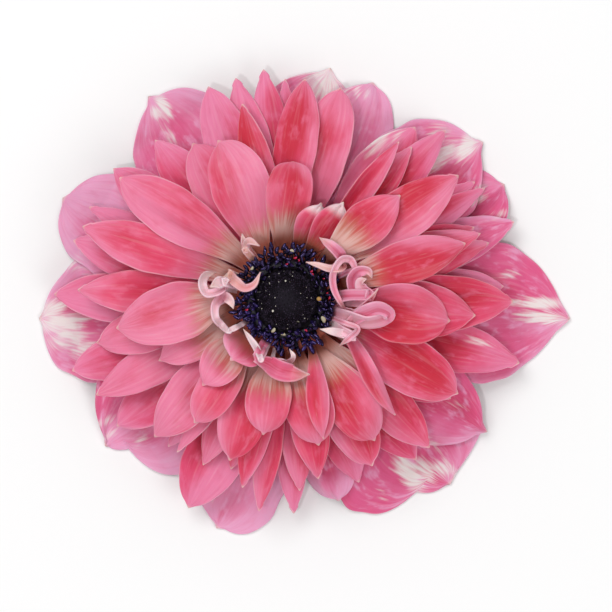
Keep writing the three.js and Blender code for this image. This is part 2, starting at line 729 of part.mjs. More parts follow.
// The stamens, sunk in one ring round the pistil and spread by the golden angle. One that would touch
// a curled petal leans further in.
function stamens(curled) {
  const random = makeRandom(7);
  const [inner, outer] = STAMEN_RING;
  const foot = CENTRE_FLOOR;
  let solid = turned([[inner, foot], [outer, foot], [outer, foot + RING_HEIGHTS[1]],
    [inner, foot + RING_HEIGHTS[0]], [inner, foot]], COLLAR_SIDES);
  for (let i = 0; i < STAMEN_COUNT; i++) {
    const share = (i + 0.5) / STAMEN_COUNT;
    const azimuth = i * GOLDEN_ANGLE + 0.12 * (random() - 0.5);
    const out = new THREE.Vector3(Math.cos(azimuth), Math.sin(azimuth), 0);
    const across = new THREE.Vector3(-out.y, out.x, 0);
    const height = ANTHER_HEIGHT - ANTHER_FALL * share + 0.8 * (random() - 0.5);
    const direction = out.clone().multiplyScalar(0.4 + share + 0.7 * (random() - 0.5));
    direction.addScaledVector(across, 1.3 * (random() - 0.5));
    direction.z = 0.35 + 0.4 * random();
    direction.normalize();
    const length = ANTHER_LENGTH + ANTHER_SPREAD * random();
    const start = out.clone().multiplyScalar(inner + 0.45 + 0.6 * share).setZ(foot + FOOT_SINK);
    let radius = Math.sqrt(ANTHER_INNER ** 2 + (ANTHER_OUTER ** 2 - ANTHER_INNER ** 2) * share);
    for (; radius > ANTHER_INNER - 0.2; radius -= 0.5) {
      const middle = out.clone().multiplyScalar(radius).setZ(height);
      const air = stamenSolid(start, middle, direction, length + 2 * ANTHER_AIR,
        ANTHER_WIDTH + 2 * ANTHER_AIR, FILAMENT_RADIUS + ANTHER_AIR);
      if (air.intersect(curled).isEmpty()) {
        solid = solid.add(stamenSolid(start, middle, direction, length, ANTHER_WIDTH, FILAMENT_RADIUS));
        break;
      }
    }
  }
  return solid;
}

// The pistil: a dome whose surface is raised in close rows of small grains
function pistil() {
  const sides = DOME_SIDES;
  const rings = DOME_RINGS;
  const points = [];
  for (let i = 0; i < rings - 1; i++) {
    const polar = (i / (rings - 1)) * (Math.PI / 2);
    for (let k = 0; k < sides; k++) {
      const azimuth = ((k + 0.5 * (i % 2)) / sides) * TURN;
      const grain = i > 0 && i < rings - 2 && (k + i) % 2 === 0 ? GRAIN_HEIGHT : 0;
      const radius = (DOME_RADIUS - GRAIN_HEIGHT + grain) * Math.cos(polar) ** 0.8;
      const height = (DOME_HEIGHT + grain) * Math.sin(polar) ** 1.1;
      points.push(new THREE.Vector3(radius * Math.cos(azimuth), radius * Math.sin(azimuth),
        CENTRE_FLOOR + DOME_SKIRT + height));
    }
  }
  const foot = points.slice(0, sides).map((point) => point.clone().setZ(CENTRE_FLOOR));
  points.unshift(...foot);
  const faces = [];
  for (let i = 0; i + 1 < rings; i++) {
    const here = i * sides;
    for (let k = 0; k < sides; k++) {
      const next = (k + 1) % sides;
      if (i > 0 && i % 2 === 0) {
        faces.push([here + k, here + next, here + sides + next]);
        faces.push([here + k, here + sides + next, here + sides + k]);
      } else {
        faces.push([here + k, here + next, here + sides + k]);
        faces.push([here + next, here + sides + next, here + sides + k]);
      }
    }
  }
  const crown = points.push(new THREE.Vector3(0, 0, CENTRE_FLOOR + DOME_SKIRT + DOME_HEIGHT)) - 1;
  const under = points.push(new THREE.Vector3(0, 0, CENTRE_FLOOR)) - 1;
  const last = (rings - 1) * sides;
  for (let k = 0; k < sides; k++) {
    const next = (k + 1) % sides;
    faces.push([last + k, last + next, crown]);
    faces.push([next, k, under]);
  }
  return solidFrom(points, faces);
}

// The green receptacle and the short stub of the cut stem
function receptacle() {
  return turned([[0, STEM_END], [STEM_RADIUS - STEM_BEVEL, STEM_END],
    [STEM_RADIUS, STEM_END + STEM_BEVEL], [STEM_RADIUS, STEM_TOP],
    [STEM_RADIUS + 0.8, (STEM_TOP + COLUMN_FOOT) / 2], [COLUMN_RADIUS - 1.2, COLUMN_FOOT],
    [COLUMN_RADIUS, COLUMN_FOOT + 0.9], [COLUMN_RADIUS, COLUMN_TOP - COLUMN_BEVEL],
    [COLUMN_RADIUS - COLUMN_BEVEL, COLUMN_TOP], [0, COLUMN_TOP]], COLUMN_SIDES);
}

const group = new THREE.Group();

function addNode(name, colour, solid) {
  const { vertProperties, triVerts, numProp } = solid.getMesh();
  const positions = new Float32Array((vertProperties.length / numProp) * 3);
  for (let i = 0; i < positions.length / 3; i++) {
    positions.set(vertProperties.subarray(i * numProp, i * numProp + 3), i * 3);
  }
  const geometry = new THREE.BufferGeometry();
  geometry.setAttribute("position", new THREE.BufferAttribute(positions, 3));
  geometry.setIndex(new THREE.BufferAttribute(new Uint32Array(triVerts), 1));
  geometry.computeVertexNormals();
  const material = new THREE.MeshStandardMaterial({ color: colour, roughness: 0.6, metalness: 0 });
  const mesh = new THREE.Mesh(geometry, material);
  mesh.name = name;
  group.add(mesh);
}

const skyline = new HeightMap();
let topWhorl = null;
addNode("receptacle", "#7d8a4a", receptacle());
WHORLS.forEach((whorl, index) => {
  let solid = collar(index);
  for (const { points, triangles } of drapedPetals(whorl, index, skyline)) {
    solid = solid.add(bladeSolid(points, triangles));
  }
  if (index === WHORLS.length - 1) {
    const beside = new HeightMap();
    for (const ribbon of RIBBONS) {
      const { points, triangles } = drape(ribbonRows(ribbon, skyline), 1, skyline, beside);
      rasterise(points, triangles, beside);
      solid = solid.add(bladeSolid(points, triangles));
    }
  }
  addNode(whorl.name, whorl.colour, solid);
  topWhorl = solid;
});
addNode("stamens", "#1d1b3a", stamens(topWhorl));
addNode("pistil", "#15121a", pistil());

// The origin goes to the middle of the footprint, at the level that the head rests on
const box = new THREE.Box3().setFromObject(group);
group.position.set(-(box.min.x + box.max.x) / 2, -(box.min.y + box.max.y) / 2, -box.min.z);

export default group;
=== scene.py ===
# %% [markdown]
# # A double anemone seen from above
# The bloom is a cut flower head that lies on its outer tepals and faces straight up. Fourteen broad
# outer tepals carry five whorls of narrower petals, and in the middle a ring of blue-black stamens
# stands round a velvety dome of tiny pistils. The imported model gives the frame: where the axis is,
# how high the whorls sit and how far they reach. Everything here is a finer piece in the same place.

# %% Load the frame
import math
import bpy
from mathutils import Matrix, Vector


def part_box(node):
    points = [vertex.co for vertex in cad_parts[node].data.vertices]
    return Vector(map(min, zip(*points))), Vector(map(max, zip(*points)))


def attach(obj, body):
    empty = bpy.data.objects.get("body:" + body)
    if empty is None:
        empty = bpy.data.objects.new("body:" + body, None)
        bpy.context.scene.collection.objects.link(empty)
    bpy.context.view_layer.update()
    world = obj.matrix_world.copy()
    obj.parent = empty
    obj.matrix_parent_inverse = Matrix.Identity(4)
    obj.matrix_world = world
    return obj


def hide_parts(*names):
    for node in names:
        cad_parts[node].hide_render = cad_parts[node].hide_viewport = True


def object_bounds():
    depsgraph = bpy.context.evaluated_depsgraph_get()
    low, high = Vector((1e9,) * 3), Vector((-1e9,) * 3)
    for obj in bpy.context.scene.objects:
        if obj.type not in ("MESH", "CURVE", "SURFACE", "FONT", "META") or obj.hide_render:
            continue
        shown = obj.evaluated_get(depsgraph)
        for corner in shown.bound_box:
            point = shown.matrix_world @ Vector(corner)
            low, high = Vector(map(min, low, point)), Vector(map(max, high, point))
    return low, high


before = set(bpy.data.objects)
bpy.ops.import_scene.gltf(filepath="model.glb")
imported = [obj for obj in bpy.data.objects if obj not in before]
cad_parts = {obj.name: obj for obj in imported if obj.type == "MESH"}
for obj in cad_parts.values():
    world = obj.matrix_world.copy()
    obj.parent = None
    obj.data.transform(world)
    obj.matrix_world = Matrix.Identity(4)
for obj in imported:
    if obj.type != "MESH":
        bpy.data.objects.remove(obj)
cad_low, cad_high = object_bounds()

from types import SimpleNamespace

import bpy
import numpy as np
from mathutils import Vector
from mathutils.kdtree import KDTree

MM = 0.001  # the scene is in metres, and the flower is worked out in millimetres
print("CAD box in mm:", [round(v / MM, 2) for v in (*cad_low, *cad_high)])

# %% [markdown]
# ## Where the flower stands
# The pistil's dome is round, so the middle of its box is the axis of the bloom. Its underside gives
# the level from which the heights of all whorls are counted.

# %% The axis and the level of the bloom
CENTRE_FLOOR = 14.95  # underside of the pistil and of the ring of stamens
dome_low, dome_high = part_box("pistil")
AXIS = np.array([(dome_low[0] + dome_high[0]) / 2, (dome_low[1] + dome_high[1]) / 2]) / MM
LEVEL = dome_low[2] / MM - CENTRE_FLOOR
print("axis of the bloom at", AXIS.round(3), "mm, heights shifted by", round(LEVEL, 3), "mm")

# %% [markdown]
# ## Camera
# The flower was photographed squarely from above and from far off, so a long lens looks straight
# down. A far camera also keeps the high petals from growing against the low ones.

# %% Camera
PICTURE = 612  # pixels on each side
MM_PER_PIXEL = 0.18
VIEW_MIDDLE = AXIS + (3.42, -1.08)  # what the middle of the picture shows
VIEW_DISTANCE = 1600.0  # above the level at which the scale holds
VIEW_LEVEL = 12
SENSOR = 36.0
camera_data = bpy.data.cameras.new("camera")
camera_data.sensor_width = SENSOR
camera_data.lens = SENSOR * VIEW_DISTANCE / (PICTURE * MM_PER_PIXEL)
camera_data.clip_start = 0.1
camera_data.clip_end = 10
camera = bpy.data.objects.new("camera", camera_data)
camera.location = (VIEW_MIDDLE[0] * MM, VIEW_MIDDLE[1] * MM, (VIEW_DISTANCE + VIEW_LEVEL) * MM)
bpy.context.scene.collection.objects.link(camera)
bpy.context.scene.camera = camera
print("lens", round(camera_data.lens), "mm")

# %% [markdown]
# ## The whorls
# Each petal was measured on the real bloom: the azimuth of its tip, how far the tip reaches from the
# axis and its greatest width. They could be scattered by a rule alone, but then the bloom would be
# another flower. A whorl's list runs in the order in which its petals lie on one another. A petal
# that stands out has values of its own, such as the azimuth of its axis where the tip leans, the share
# of its length at which it is widest, the mm of its corner (point), the tears in its margin (steps:
# side, start and the share of the width that is left), and cream_out, which moves its pale foot out.

# %% The petals of each whorl
WHORLS = [  # of each petal: azimuth of its tip, reach, width, roundness and any values of its own
    dict(name="outer_tepals", rise=dict(slope=0.02, droop=10.5, crest=0.4, cup=0.05), petals=[
        (356.2, 51.4, 26.4, 0.4, dict(point=2.6, blush=1.2, axis=358.0)),
        (124.3, 44.7, 21.0, 0.7, dict(axis=121.0, widest=0.66, point=2.2, ragged=1.6)),
        (184.3, 45.1, 23.6, 0.85, dict(axis=187.0, widest=0.66, ragged=2.2, steps=((1, 0.88, 0.7),))),
        (311.5, 44.6, 30.5, 1, dict(axis=309.5, widest=0.68, wave=0.7, ragged=2.0,
                                    steps=((-1, 0.8, 0.45), (1, 0.84, 1.22)))),
        (79.5, 42.8, 20.0, 0.45, dict(axis=82.5, widest=0.66, point=2.0)),
        (28.1, 44.6, 17.5, 0.95, dict(axis=26.5)),
        (218.8, 42.3, 23.5, 0.95, dict(axis=221.5, widest=0.68, ragged=1.8, steps=((1, 0.8, 0.3),))),
        (252.8, 43.3, 16.5, 1, dict(axis=258.5, widest=0.7, ragged=1.8, steps=((-1, 0.86, 0.8),))),
        (284.5, 37.6, 10.0, 1),
        (155.5, 44.7, 19.0, 0.85, dict(axis=157.5, widest=0.66, ragged=1.6)),
        (68.5, 42.4, 14.5, 0.85, dict(axis=67.0)),
        (38.9, 45.6, 21.5, 0.55, dict(axis=42.0, widest=0.66, point=2.2, ragged=1.5)),
        (326.6, 43.4, 16.5, 0.55, dict(point=2.6, blush=0.8, deepen=0.1, axis=324.5)),
        (19.0, 43.4, 9.0, 0.4),
    ]),
    dict(name="lower_petals", rise=dict(slope=0.08, droop=3.4, crest=0.6, cup=0.25), petals=[
        (90.5, 40.0, 5.2, 0.25), (95.8, 41.9, 7.2, 0.25), (103.0, 41.2, 7.6, 0.25),
        (110.2, 41.1, 9.2, 0.6, dict(blush=1.7)),
        (53.5, 38.9, 10.5, 0.5, dict(blush=1.5)),
        (47.0, 41.9, 7.5, 0.25), (32.2, 40.1, 6.0, 0.25), (29.5, 41.0, 5.5, 0.25),
        (3.6, 39.2, 8.7, 0.5, dict(blush=0.9, deepen=0.05)),
        (344.8, 43.5, 9.5, 0.3, dict(blush=1.1)),
        (329.0, 34.5, 9.0, 0.5), (309.0, 37.1, 9.0, 0.5), (291.5, 35.4, 7.8, 0.4),
        (271.8, 38.6, 6.3, 0.25, dict(blush=1.2)),
        (244.6, 41.6, 11.2, 0.7, dict(blush=1.5)),
        (231.0, 34.1, 6.5, 0.25),
        (216.5, 38.3, 9.2, 0.7, dict(blush=1.4)),
        (198.2, 40.9, 8.7, 0.75, dict(blush=1.3)),
        (178.6, 42.1, 9.5, 0.5), (164.4, 40.1, 9.0, 0.4), (154.8, 39.5, 6.0, 0.25),
        (142.9, 39.4, 8.7, 0.6),
        (129.5, 37.5, 8.7, 0.4, dict(deepen=0.1)),
    ]),
    dict(name="middle_petals", rise=dict(slope=0.15, droop=3.6, crest=0.65, cup=0.3), petals=[
        (75.8, 39.5, 9.2, 0.85, dict(blush=1.2)),
        (85.4, 40.0, 7.8, 0.6, dict(deepen=0.2)),
        (121.0, 33.0, 9.3, 0.75), (50.8, 35.6, 6.2, 0.25), (21.2, 36.2, 7.0, 0.25),
        (15.8, 37.8, 6.6, 0.25),
        (359.6, 40.8, 10.2, 0.4, dict(blush=0.8, deepen=0.1)),
        (314.0, 37.0, 8.4, 0.4), (273.8, 34.5, 6.4, 0.25), (262.4, 38.4, 5.2, 0.25),
        (251.7, 32.1, 6.6, 0.25), (243.1, 33.4, 6.6, 0.25), (206.4, 38.4, 7.7, 0.4),
        (192.7, 35.2, 8.4, 0.7),
    ]),
    dict(name="upper_petals", rise=dict(slope=0.22, droop=3.4, crest=0.68, cup=0.35), petals=[
        (102.8, 36.2, 5.7, 0.25, dict(blush=0.3, deepen=0.4, cup=0.5)),
        (54.7, 34.9, 4.2, 0.25, dict(blush=1.6, cup=0.9)),
        (19.0, 36.8, 6.6, 0.25),
        (355.3, 34.0, 10.0, 0.5, dict(blush=0.6, deepen=0.2)),
        (331.3, 35.1, 10.0, 0.75, dict(blush=0.5, deepen=0.2)),
        (297.2, 33.6, 9.2, 0.7), (279.9, 32.7, 7.0, 0.25), (256.6, 34.7, 5.6, 0.25),
        (234.2, 33.8, 4.0, 0.25, dict(cup=0.9)),
        (225.9, 34.3, 9.2, 0.5, dict(blush=1.5)),
        (177.2, 37.7, 8.1, 0.3, dict(cream_out=1)),
        (160.2, 39.1, 8.5, 0.3, dict(cream_out=1.5)),
        (143.8, 37.3, 9.5, 0.6, dict(blush=1.6, cream_out=2)),
    ]),
    dict(name="inner_petals", rise=dict(slope=0.34, droop=3.0, crest=0.72, cup=0.4), petals=[
        (36.0, 38.0, 9.2, 0.3, dict(deepen=0.15, cream_out=2)),
        (113.4, 31.2, 10.8, 0.75, dict(blush=1.5, cream_out=-1, axis=110.0)),
        (87.3, 26.3, 8.4, 0.8, dict(blush=0.4, deepen=0.35, rolled=1.5)),
        (70.5, 18.5, 6.0, 0.5, dict(blush=0.4, deepen=0.2, cream_out=-5, fringed=1.0)),
        (60.0, 20.3, 5.5, 0.5, dict(blush=0.4, deepen=0.2, cream_out=-5, fringed=1.0)),
        (42.8, 27.6, 8.0, 0.4, dict(deepen=0.1, cream_out=2.5)),
        (17.6, 33.6, 8.0, 0.3, dict(blush=0.5, deepen=0.25, cream_out=1.5)),
        (352.7, 29.5, 10.8, 0.8, dict(blush=0.4, deepen=0.3, cream_out=-3)),
        (309.0, 27.0, 8.0, 0.4, dict(cream_out=1.5)),
        (302.0, 29.8, 9.2, 0.85, dict(blush=0.6, deepen=0.15, cream_out=1)),
        (313.3, 28.4, 3.2, 0.25, dict(cream_out=-4, root=342.0, cup=0.9, blush=1.3)),
        (282.3, 26.7, 8.8, 0.8, dict(cream_out=1.2)),
        (284.8, 25.7, 4.2, 0.25, dict(cream_out=-4, root=300.0, cup=0.9, blush=1.3)),
        (250.3, 30.6, 8.8, 0.65, dict(blush=1.2, cream_out=2.5)),
        (260.0, 24.5, 8.4, 0.75, dict(cream_out=1.2)),
        (233.0, 27.6, 7.4, 0.8, dict(blush=1.3, cream_out=1)),
        (205.3, 25.5, 7.3, 0.4, dict(blush=1.3, cream_out=2.2)),
        (225.4, 21.5, 7.6, 0.6, dict(blush=1.3, cream_out=0.5)),
        (189.3, 31.0, 10.8, 0.6, dict(blush=1.3, cream_out=1.2, widest=0.5)),
    ]),
    dict(name="curled_petals", rise=dict(slope=0.5, droop=0.6, crest=0.8, cup=0.3), evenness=0, petals=[
        (227.0, 14.8, 8.2, 0.8, dict(widest=0.55)),
    ]),
]
print(sum(len(whorl["petals"]) for whorl in WHORLS), "petals in", len(WHORLS), "whorls")

# %% [markdown]
# ## How a petal runs
# A petal leaves a narrow claw at the foot, widens along a sine and closes in a rounded point. Seen
# from the side it climbs out of its whorl to a crest and then droops. The claws are spaced a little
# more evenly than the tips, and each petal swings from its claw to the azimuth of its tip.

# %% Where the claws stand
ROOT_RADIUS = 7.9  # where the petals start, inside the collar
CLEAR_RADIUS = 9.15  # where they come out of it
FIRST_COLLAR = 3.8  # height of the lowest collar
COLLAR_PITCH = 1.8
COLLAR_THICK = 1.45
ROOT_EVENNESS = 0.35  # 0 puts each claw under its petal's tip, 1 spreads the claws evenly
CLAW_SHARE = 0.34  # of a petal's width
NARROWEST_CLAW = 1.1
CLAW_ROOM = 0.9  # of the way to the next claw


def make_random(seed):
    """A repeatable stream of numbers from 0 to 1"""
    state = seed
    while True:
        state = (state * 1664525 + 1013904223) % 4294967296
        yield state / 4294967296


def collar_base(index):
    return FIRST_COLLAR + COLLAR_PITCH * index


def root_azimuths(whorl):
    """Where the claws of a whorl stand, and how wide each is"""
    petals = whorl["petals"]
    evenness = whorl.get("evenness", ROOT_EVENNESS)
    owns = [petal[4] if petal[4:] else {} for petal in petals]
    axes = [own.get("axis", petal[0]) for petal, own in zip(petals, owns)]
    order = sorted(range(len(petals)), key=lambda i: axes[i])
    step = 360 / len(petals)
    offset = sum(axes[i] - rank * step for rank, i in enumerate(order)) / len(petals)
    roots, claws = {}, {}
    for rank, i in enumerate(order):
        even = axes[i] + evenness * (offset + rank * step - axes[i])
        roots[i] = owns[i].get("root", even)
    for rank, i in enumerate(order):
        before, after = roots[order[rank - 1]], roots[order[(rank + 1) % len(order)]]
        gap = min((roots[i] - before) % 360, (after - roots[i]) % 360) or 360
        room = max(NARROWEST_CLAW, CLAW_ROOM * math.radians(gap) * CLEAR_RADIUS)
        claws[i] = min(CLAW_SHARE * petals[i][2], room)
    return roots, claws


print("collars from", FIRST_COLLAR, "to", collar_base(len(WHORLS) - 1) + COLLAR_THICK, "mm")


# %% Plan and rise of a petal
LONGEST_CLIMB = 26  # mm of a petal's length that count for its rise
SOLID_BLADE = 0.6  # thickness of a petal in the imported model


def half_width(petal, t, rounder=0.0):
    """Half the width of a petal at shares t of its length"""
    full, claw = petal.width / 2, petal.claw / 2
    shape = petal.round + rounder
    opening = claw + (full - claw) * np.sin(np.minimum(t / petal.widest, 1) * np.pi / 2) ** 2
    u = np.clip((t - petal.widest) / (1 - petal.widest), 0, 1)
    closing = full * (1 - u ** (1.7 + 0.8 * shape)) ** (0.95 - 0.45 * shape)
    return np.where(t < petal.widest, opening, closing)


def centre_line(petal, t):
    """Points of the middle line seen from above, and the directions along it and to its left"""
    def place(share):
        swing = petal.swing * (1 - (1 - share) ** 2) + petal.lean * share**3
        azimuth = np.radians(petal.root + swing)
        radius = ROOT_RADIUS + petal.length * share
        return np.stack([radius * np.cos(azimuth), radius * np.sin(azimuth)], -1)

    step = place(np.minimum(1, t + 0.02)) - place(np.maximum(0, t - 0.02))
    along = step / np.linalg.norm(step, axis=-1, keepdims=True)
    return place(t), along, np.stack([-along[..., 1], along[..., 0]], -1)


def sheet_height(petal, s, t):
    """Height of the sheet of a petal: s runs from its right margin to its left, t from root to tip"""
    free = np.clip((t - petal.clear) / (petal.crest - petal.clear), 0, 1)
    climb = petal.slope * min(LONGEST_CLIMB, petal.length) * np.sin(free * np.pi / 2) ** 1.15
    fall = petal.droop * np.maximum(0, (t - petal.crest) / (1 - petal.crest)) ** 2
    half = half_width(petal, t)
    opening = np.maximum(0, np.sin(np.pi * np.minimum(1, 1.1 * t) ** 0.8))
    cup = petal.cup * half * s * s * opening
    twist = petal.twist * s * half * t
    wave = petal.wave * np.sin(2 * np.pi * (1.6 * t + petal.phase)) * s * np.abs(s) * t
    return np.maximum(SOLID_BLADE / 2, petal.base + climb - fall + cup + twist + wave)


# %% The values of every petal
def signed_angle(start, end):
    return (end - start + 180) % 360 - 180


def petals_of(whorl, index):
    """The petals of a whorl with the usual values, apart from those of their own"""
    random = make_random(101 + 17 * index)
    roots, claws = root_azimuths(whorl)
    petals = []
    for i, (tip, reach, width, rounded, *own) in enumerate(whorl["petals"]):
        own = own[0] if own else {}
        length = reach - ROOT_RADIUS
        values = dict(
            reach=reach, length=length, width=width, root=roots[i], claw=claws[i],
            round=rounded, widest=0.6, wave=0.3, point=1.2, ragged=1.0, steps=(), rolled=0.0,
            fringed=0.0, blush=1.0, deepen=0.0, cream_out=0.0,
            swing=signed_angle(roots[i], own.get("axis", tip)),
            lean=signed_angle(own.get("axis", tip), tip),
            clear=(CLEAR_RADIUS - ROOT_RADIUS) / length,
            base=collar_base(index) + COLLAR_THICK / 2,
            twist=0.12 * (next(random) - 0.5), phase=next(random), number=100 * index + i,
            **whorl["rise"],
        )
        petals.append(SimpleNamespace(**{**values, **own}))
    return petals


longest = petals_of(WHORLS[0], 0)[0]
print(f"longest tepal {longest.length:.1f} mm, its claw {longest.claw:.1f} mm wide")


# %% [markdown]
# ## How petals lie on one another
# Every petal rests on those below it. A cloth simulation of a hundred petals would take long and end a
# little differently each time, so a map of heights does it: each petal is laid as a coarse net, and
# the net is lifted wherever the map of what lies below would come through it. This is the way in
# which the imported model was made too, so the fine petals follow its solids.

# %% A map of heights
MAP_HALF = 56
CELL = 0.25
SIDE = round(2 * MAP_HALF / CELL)
NOTHING = -1000.0  # the height of an empty cell
print("a map of", SIDE, "by", SIDE, "cells")


def cells(values):
    """Rows or columns of the map at these places"""
    return np.clip(np.floor((values + MAP_HALF) / CELL).astype(int), 0, SIDE - 1)


def widened(heights):
    """Each cell with the greatest height of itself and its eight neighbours"""
    padded = np.pad(heights, 1, mode="edge")
    rows = np.maximum(np.maximum(padded[:-2], padded[1:-1]), padded[2:])
    return np.maximum(np.maximum(rows[:, :-2], rows[:, 1:-1]), rows[:, 2:])


# %% Nets and points spread over them
SAMPLE_STEP = 0.4


def net_triangles(lengths):
    """Triangles of a net of rows with these numbers of points: the last may be a single point"""
    starts = np.cumsum([0, *lengths])
    triangles = []
    for i in range(len(lengths) - 1):
        across, here, beyond = lengths[i] - 1, starts[i], starts[i + 1]
        for j in range(across):
            if lengths[i + 1] == 1:
                triangles.append((here + j, beyond, here + j + 1))
            elif j < across / 2:
                triangles.append((here + j, beyond + j, beyond + j + 1))
                triangles.append((here + j, beyond + j + 1, here + j + 1))
            else:
                triangles.append((here + j, beyond + j, here + j + 1))
                triangles.append((here + j + 1, beyond + j, beyond + j + 1))
    return np.array(triangles)


def net_normals(points, triangles):
    a, b, c = (points[triangles[:, k]] for k in range(3))
    facing = np.cross(b - a, c - a)
    normals = np.zeros_like(points)
    for k in range(3):
        np.add.at(normals, triangles[:, k], facing)
    return normals / np.linalg.norm(normals, axis=1, keepdims=True)


def samples_over(points, triangles, step):
    """Points spread over the triangles: which triangle, and the shares of its three corners"""
    owners, shares = [], []
    for number, corners in enumerate(triangles):
        plan = points[corners][:, :2]
        spans = np.linalg.norm(plan - plan[[1, 2, 0]], axis=1)
        parts = max(1, math.ceil(spans.max() / step))
        i, j = np.meshgrid(np.arange(parts + 1), np.arange(parts + 1))
        inside = i + j <= parts
        i, j = i[inside], j[inside]
        shares.append(np.stack([i, j, parts - i - j], 1) / parts)
        owners.append(np.full(len(i), number))
    return np.concatenate(owners), np.concatenate(shares)


# %% Lay a net on the map
RING_GAP = 0.36  # between a petal and the whorl below
PETAL_GAP = 0.14  # between two petals of a whorl
FUSED_RADIUS = 11.5  # the claws of a whorl may grow into one another within this
FREE_ENOUGH = 0.5  # share of a point that hangs on rows that can be lifted
MOST_LIFT = 1.2  # in one pass
LIFT_SHARE = 0.5  # that a row passes on to its neighbours
CLEAR_ENOUGH = 0.001
PASSES = 14


def drape(rows, held, below, beside):
    """Lifts the free rows of a net until it is clear of both maps, and gives its new points"""
    lengths = [len(row) for row in rows]
    starts = np.cumsum([0, *lengths])
    points = np.concatenate(rows)
    triangles = net_triangles(lengths)
    pinned = starts[held]
    owner, share = samples_over(points, triangles, SAMPLE_STEP)
    corners = triangles[owner]
    moved = share * (corners >= pinned)
    counts = moved.sum(1) > FREE_ENOUGH
    spread = np.maximum((moved**2).sum(1), 1e-9)
    for _ in range(PASSES):
        under = points - net_normals(points, triangles) * SOLID_BLADE / 2
        place = (under[corners] * share[:, :, None]).sum(1)
        row, column = cells(place[:, 1]), cells(place[:, 0])
        apart = np.hypot(place[:, 0], place[:, 1]) > FUSED_RADIUS
        floor = np.maximum(below[row, column] + RING_GAP,
                           np.where(apart, beside[row, column] + PETAL_GAP, NOTHING))
        need = np.where(counts, floor - place[:, 2], 0)
        if need.max() <= CLEAR_ENOUGH:
            break
        lift = np.zeros(len(points))
        wanted = np.minimum(MOST_LIFT, np.maximum(need, 0)[:, None] * moved / spread[:, None])
        np.maximum.at(lift, corners, wanted)
        passed_on = lift.copy()
        for i, length in enumerate(lengths):
            for other in (i - 1, i + 1):
                if 0 <= other < len(lengths):
                    near = starts[other] + np.minimum(np.arange(length), lengths[other] - 1)
                    here = slice(starts[i], starts[i + 1])
                    passed_on[here] = np.maximum(passed_on[here], LIFT_SHARE * lift[near])
        points[pinned:, 2] += passed_on[pinned:]
    return points, triangles


def rasterise(points, triangles, heights):
    """Raises the map to the upper face of a net"""
    over = points + net_normals(points, triangles) * SOLID_BLADE / 2
    owner, share = samples_over(points, triangles, SAMPLE_STEP / 2)
    place = (over[triangles[owner]] * share[:, :, None]).sum(1)
    np.maximum.at(heights, (cells(place[:, 1]), cells(place[:, 0])), place[:, 2])


# %% [markdown]
# ## From the net to a fine petal
# The lifts found on the coarse net are spread over a fine grid by curves that don't overshoot, and
# are added to the petal's own smooth rise.

# %% Spread values smoothly between stations
def smooth_through(stations, values, at):
    """Rows of values at stations, joined by monotone cubic curves and read at other places"""
    stations = np.asarray(stations, float)
    step = np.diff(stations)[:, None]
    slope = np.diff(values, axis=0) / step
    tangent = np.zeros_like(values)
    tangent[0], tangent[-1] = slope[0], slope[-1]
    first, second = slope[:-1], slope[1:]
    weight1, weight2 = 2 * step[1:] + step[:-1], step[1:] + 2 * step[:-1]
    same = first * second > 0
    safe = np.where(same, first, 1), np.where(same, second, 1)
    mean = (weight1 + weight2) / (weight1 / safe[0] + weight2 / safe[1])
    tangent[1:-1] = np.where(same, mean, 0)
    i = np.clip(np.searchsorted(stations, at, side="right") - 1, 0, len(stations) - 2)
    h = step[i]
    u = (at - stations[i])[:, None] / h
    return ((1 + 2 * u) * (1 - u) ** 2 * values[i] + u * (1 - u) ** 2 * h * tangent[i]
            + u * u * (3 - 2 * u) * values[i + 1] + u * u * (u - 1) * h * tangent[i + 1])


# %% The coarse net of one petal
BROAD, WIDE = 22, 9.3  # petals wider than these get finer nets
WIDE_ROWS = (0.17, 0.36, 0.55, 0.73, 0.87, 0.96)
NETS = ((WIDE_ROWS, 6), (WIDE_ROWS, 4), ((0.18, 0.42, 0.68, 0.88), 2))  # rows, and spans across


def size_class(petal):
    """0 for a broad petal, 1 for a wide one and 2 for a narrow one"""
    return 0 if petal.width > BROAD else 1 if petal.width > WIDE else 2


def sheet_points(petal, s, t):
    middle, _, left = centre_line(petal, t)
    aside = (s * half_width(petal, t))[..., None]
    return np.concatenate([middle + left * aside, sheet_height(petal, s, t)[..., None]], -1)


def petal_net(petal):
    """Stations from root to tip, and a row of points at each"""
    shares, across = NETS[size_class(petal)]
    stations = [0, petal.clear, *(petal.clear + (1 - petal.clear) * share for share in shares), 1]
    rows = []
    for t in stations:
        s = np.zeros(1) if t == 1 else np.linspace(-1, 1, across + 1)
        rows.append(sheet_points(petal, s, np.full(len(s), float(t))))
    return stations, rows


# %% [markdown]
# ## The outline of the fine petal
# A tepal ends in a small corner between round shoulders, and some are torn, so that one side of the
# margin steps in. Both are worked out as widths, since cutting the mesh would leave hard edges.

# %% Outline
POINT_SHARE = 0.26  # breadth of the small corner at the tip, as a share of the petal's
ROUNDER = 0.15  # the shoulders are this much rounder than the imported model's
STEP_SOFTNESS = 0.1  # share of the length over which a margin steps in


def pointed_width(petal, t):
    """Half the width, with rounded shoulders and a small corner at the tip"""
    shortened = np.clip(t / (1 - 0.5 * petal.point / petal.length), 0, 1)
    beyond = np.where(t > petal.widest, np.maximum(shortened, petal.widest), t)
    corner = POINT_SHARE * petal.width / 2 * np.clip((1 - t) * petal.length / petal.point, 0, 1)
    return np.maximum(half_width(petal, beyond, ROUNDER), np.where(t < petal.widest, 0, corner))


def stepped(petal, s, t):
    """The share of its width that each side keeps, where the margin is torn in towards the tip"""
    kept = np.ones(s.shape)
    for side, start, share in petal.steps:
        past = np.clip((t - start) / STEP_SOFTNESS, 0, 1)
        kept -= (1 - share) * (1 - np.sqrt(1 - past * past)) * (s * side > 0)
    return kept


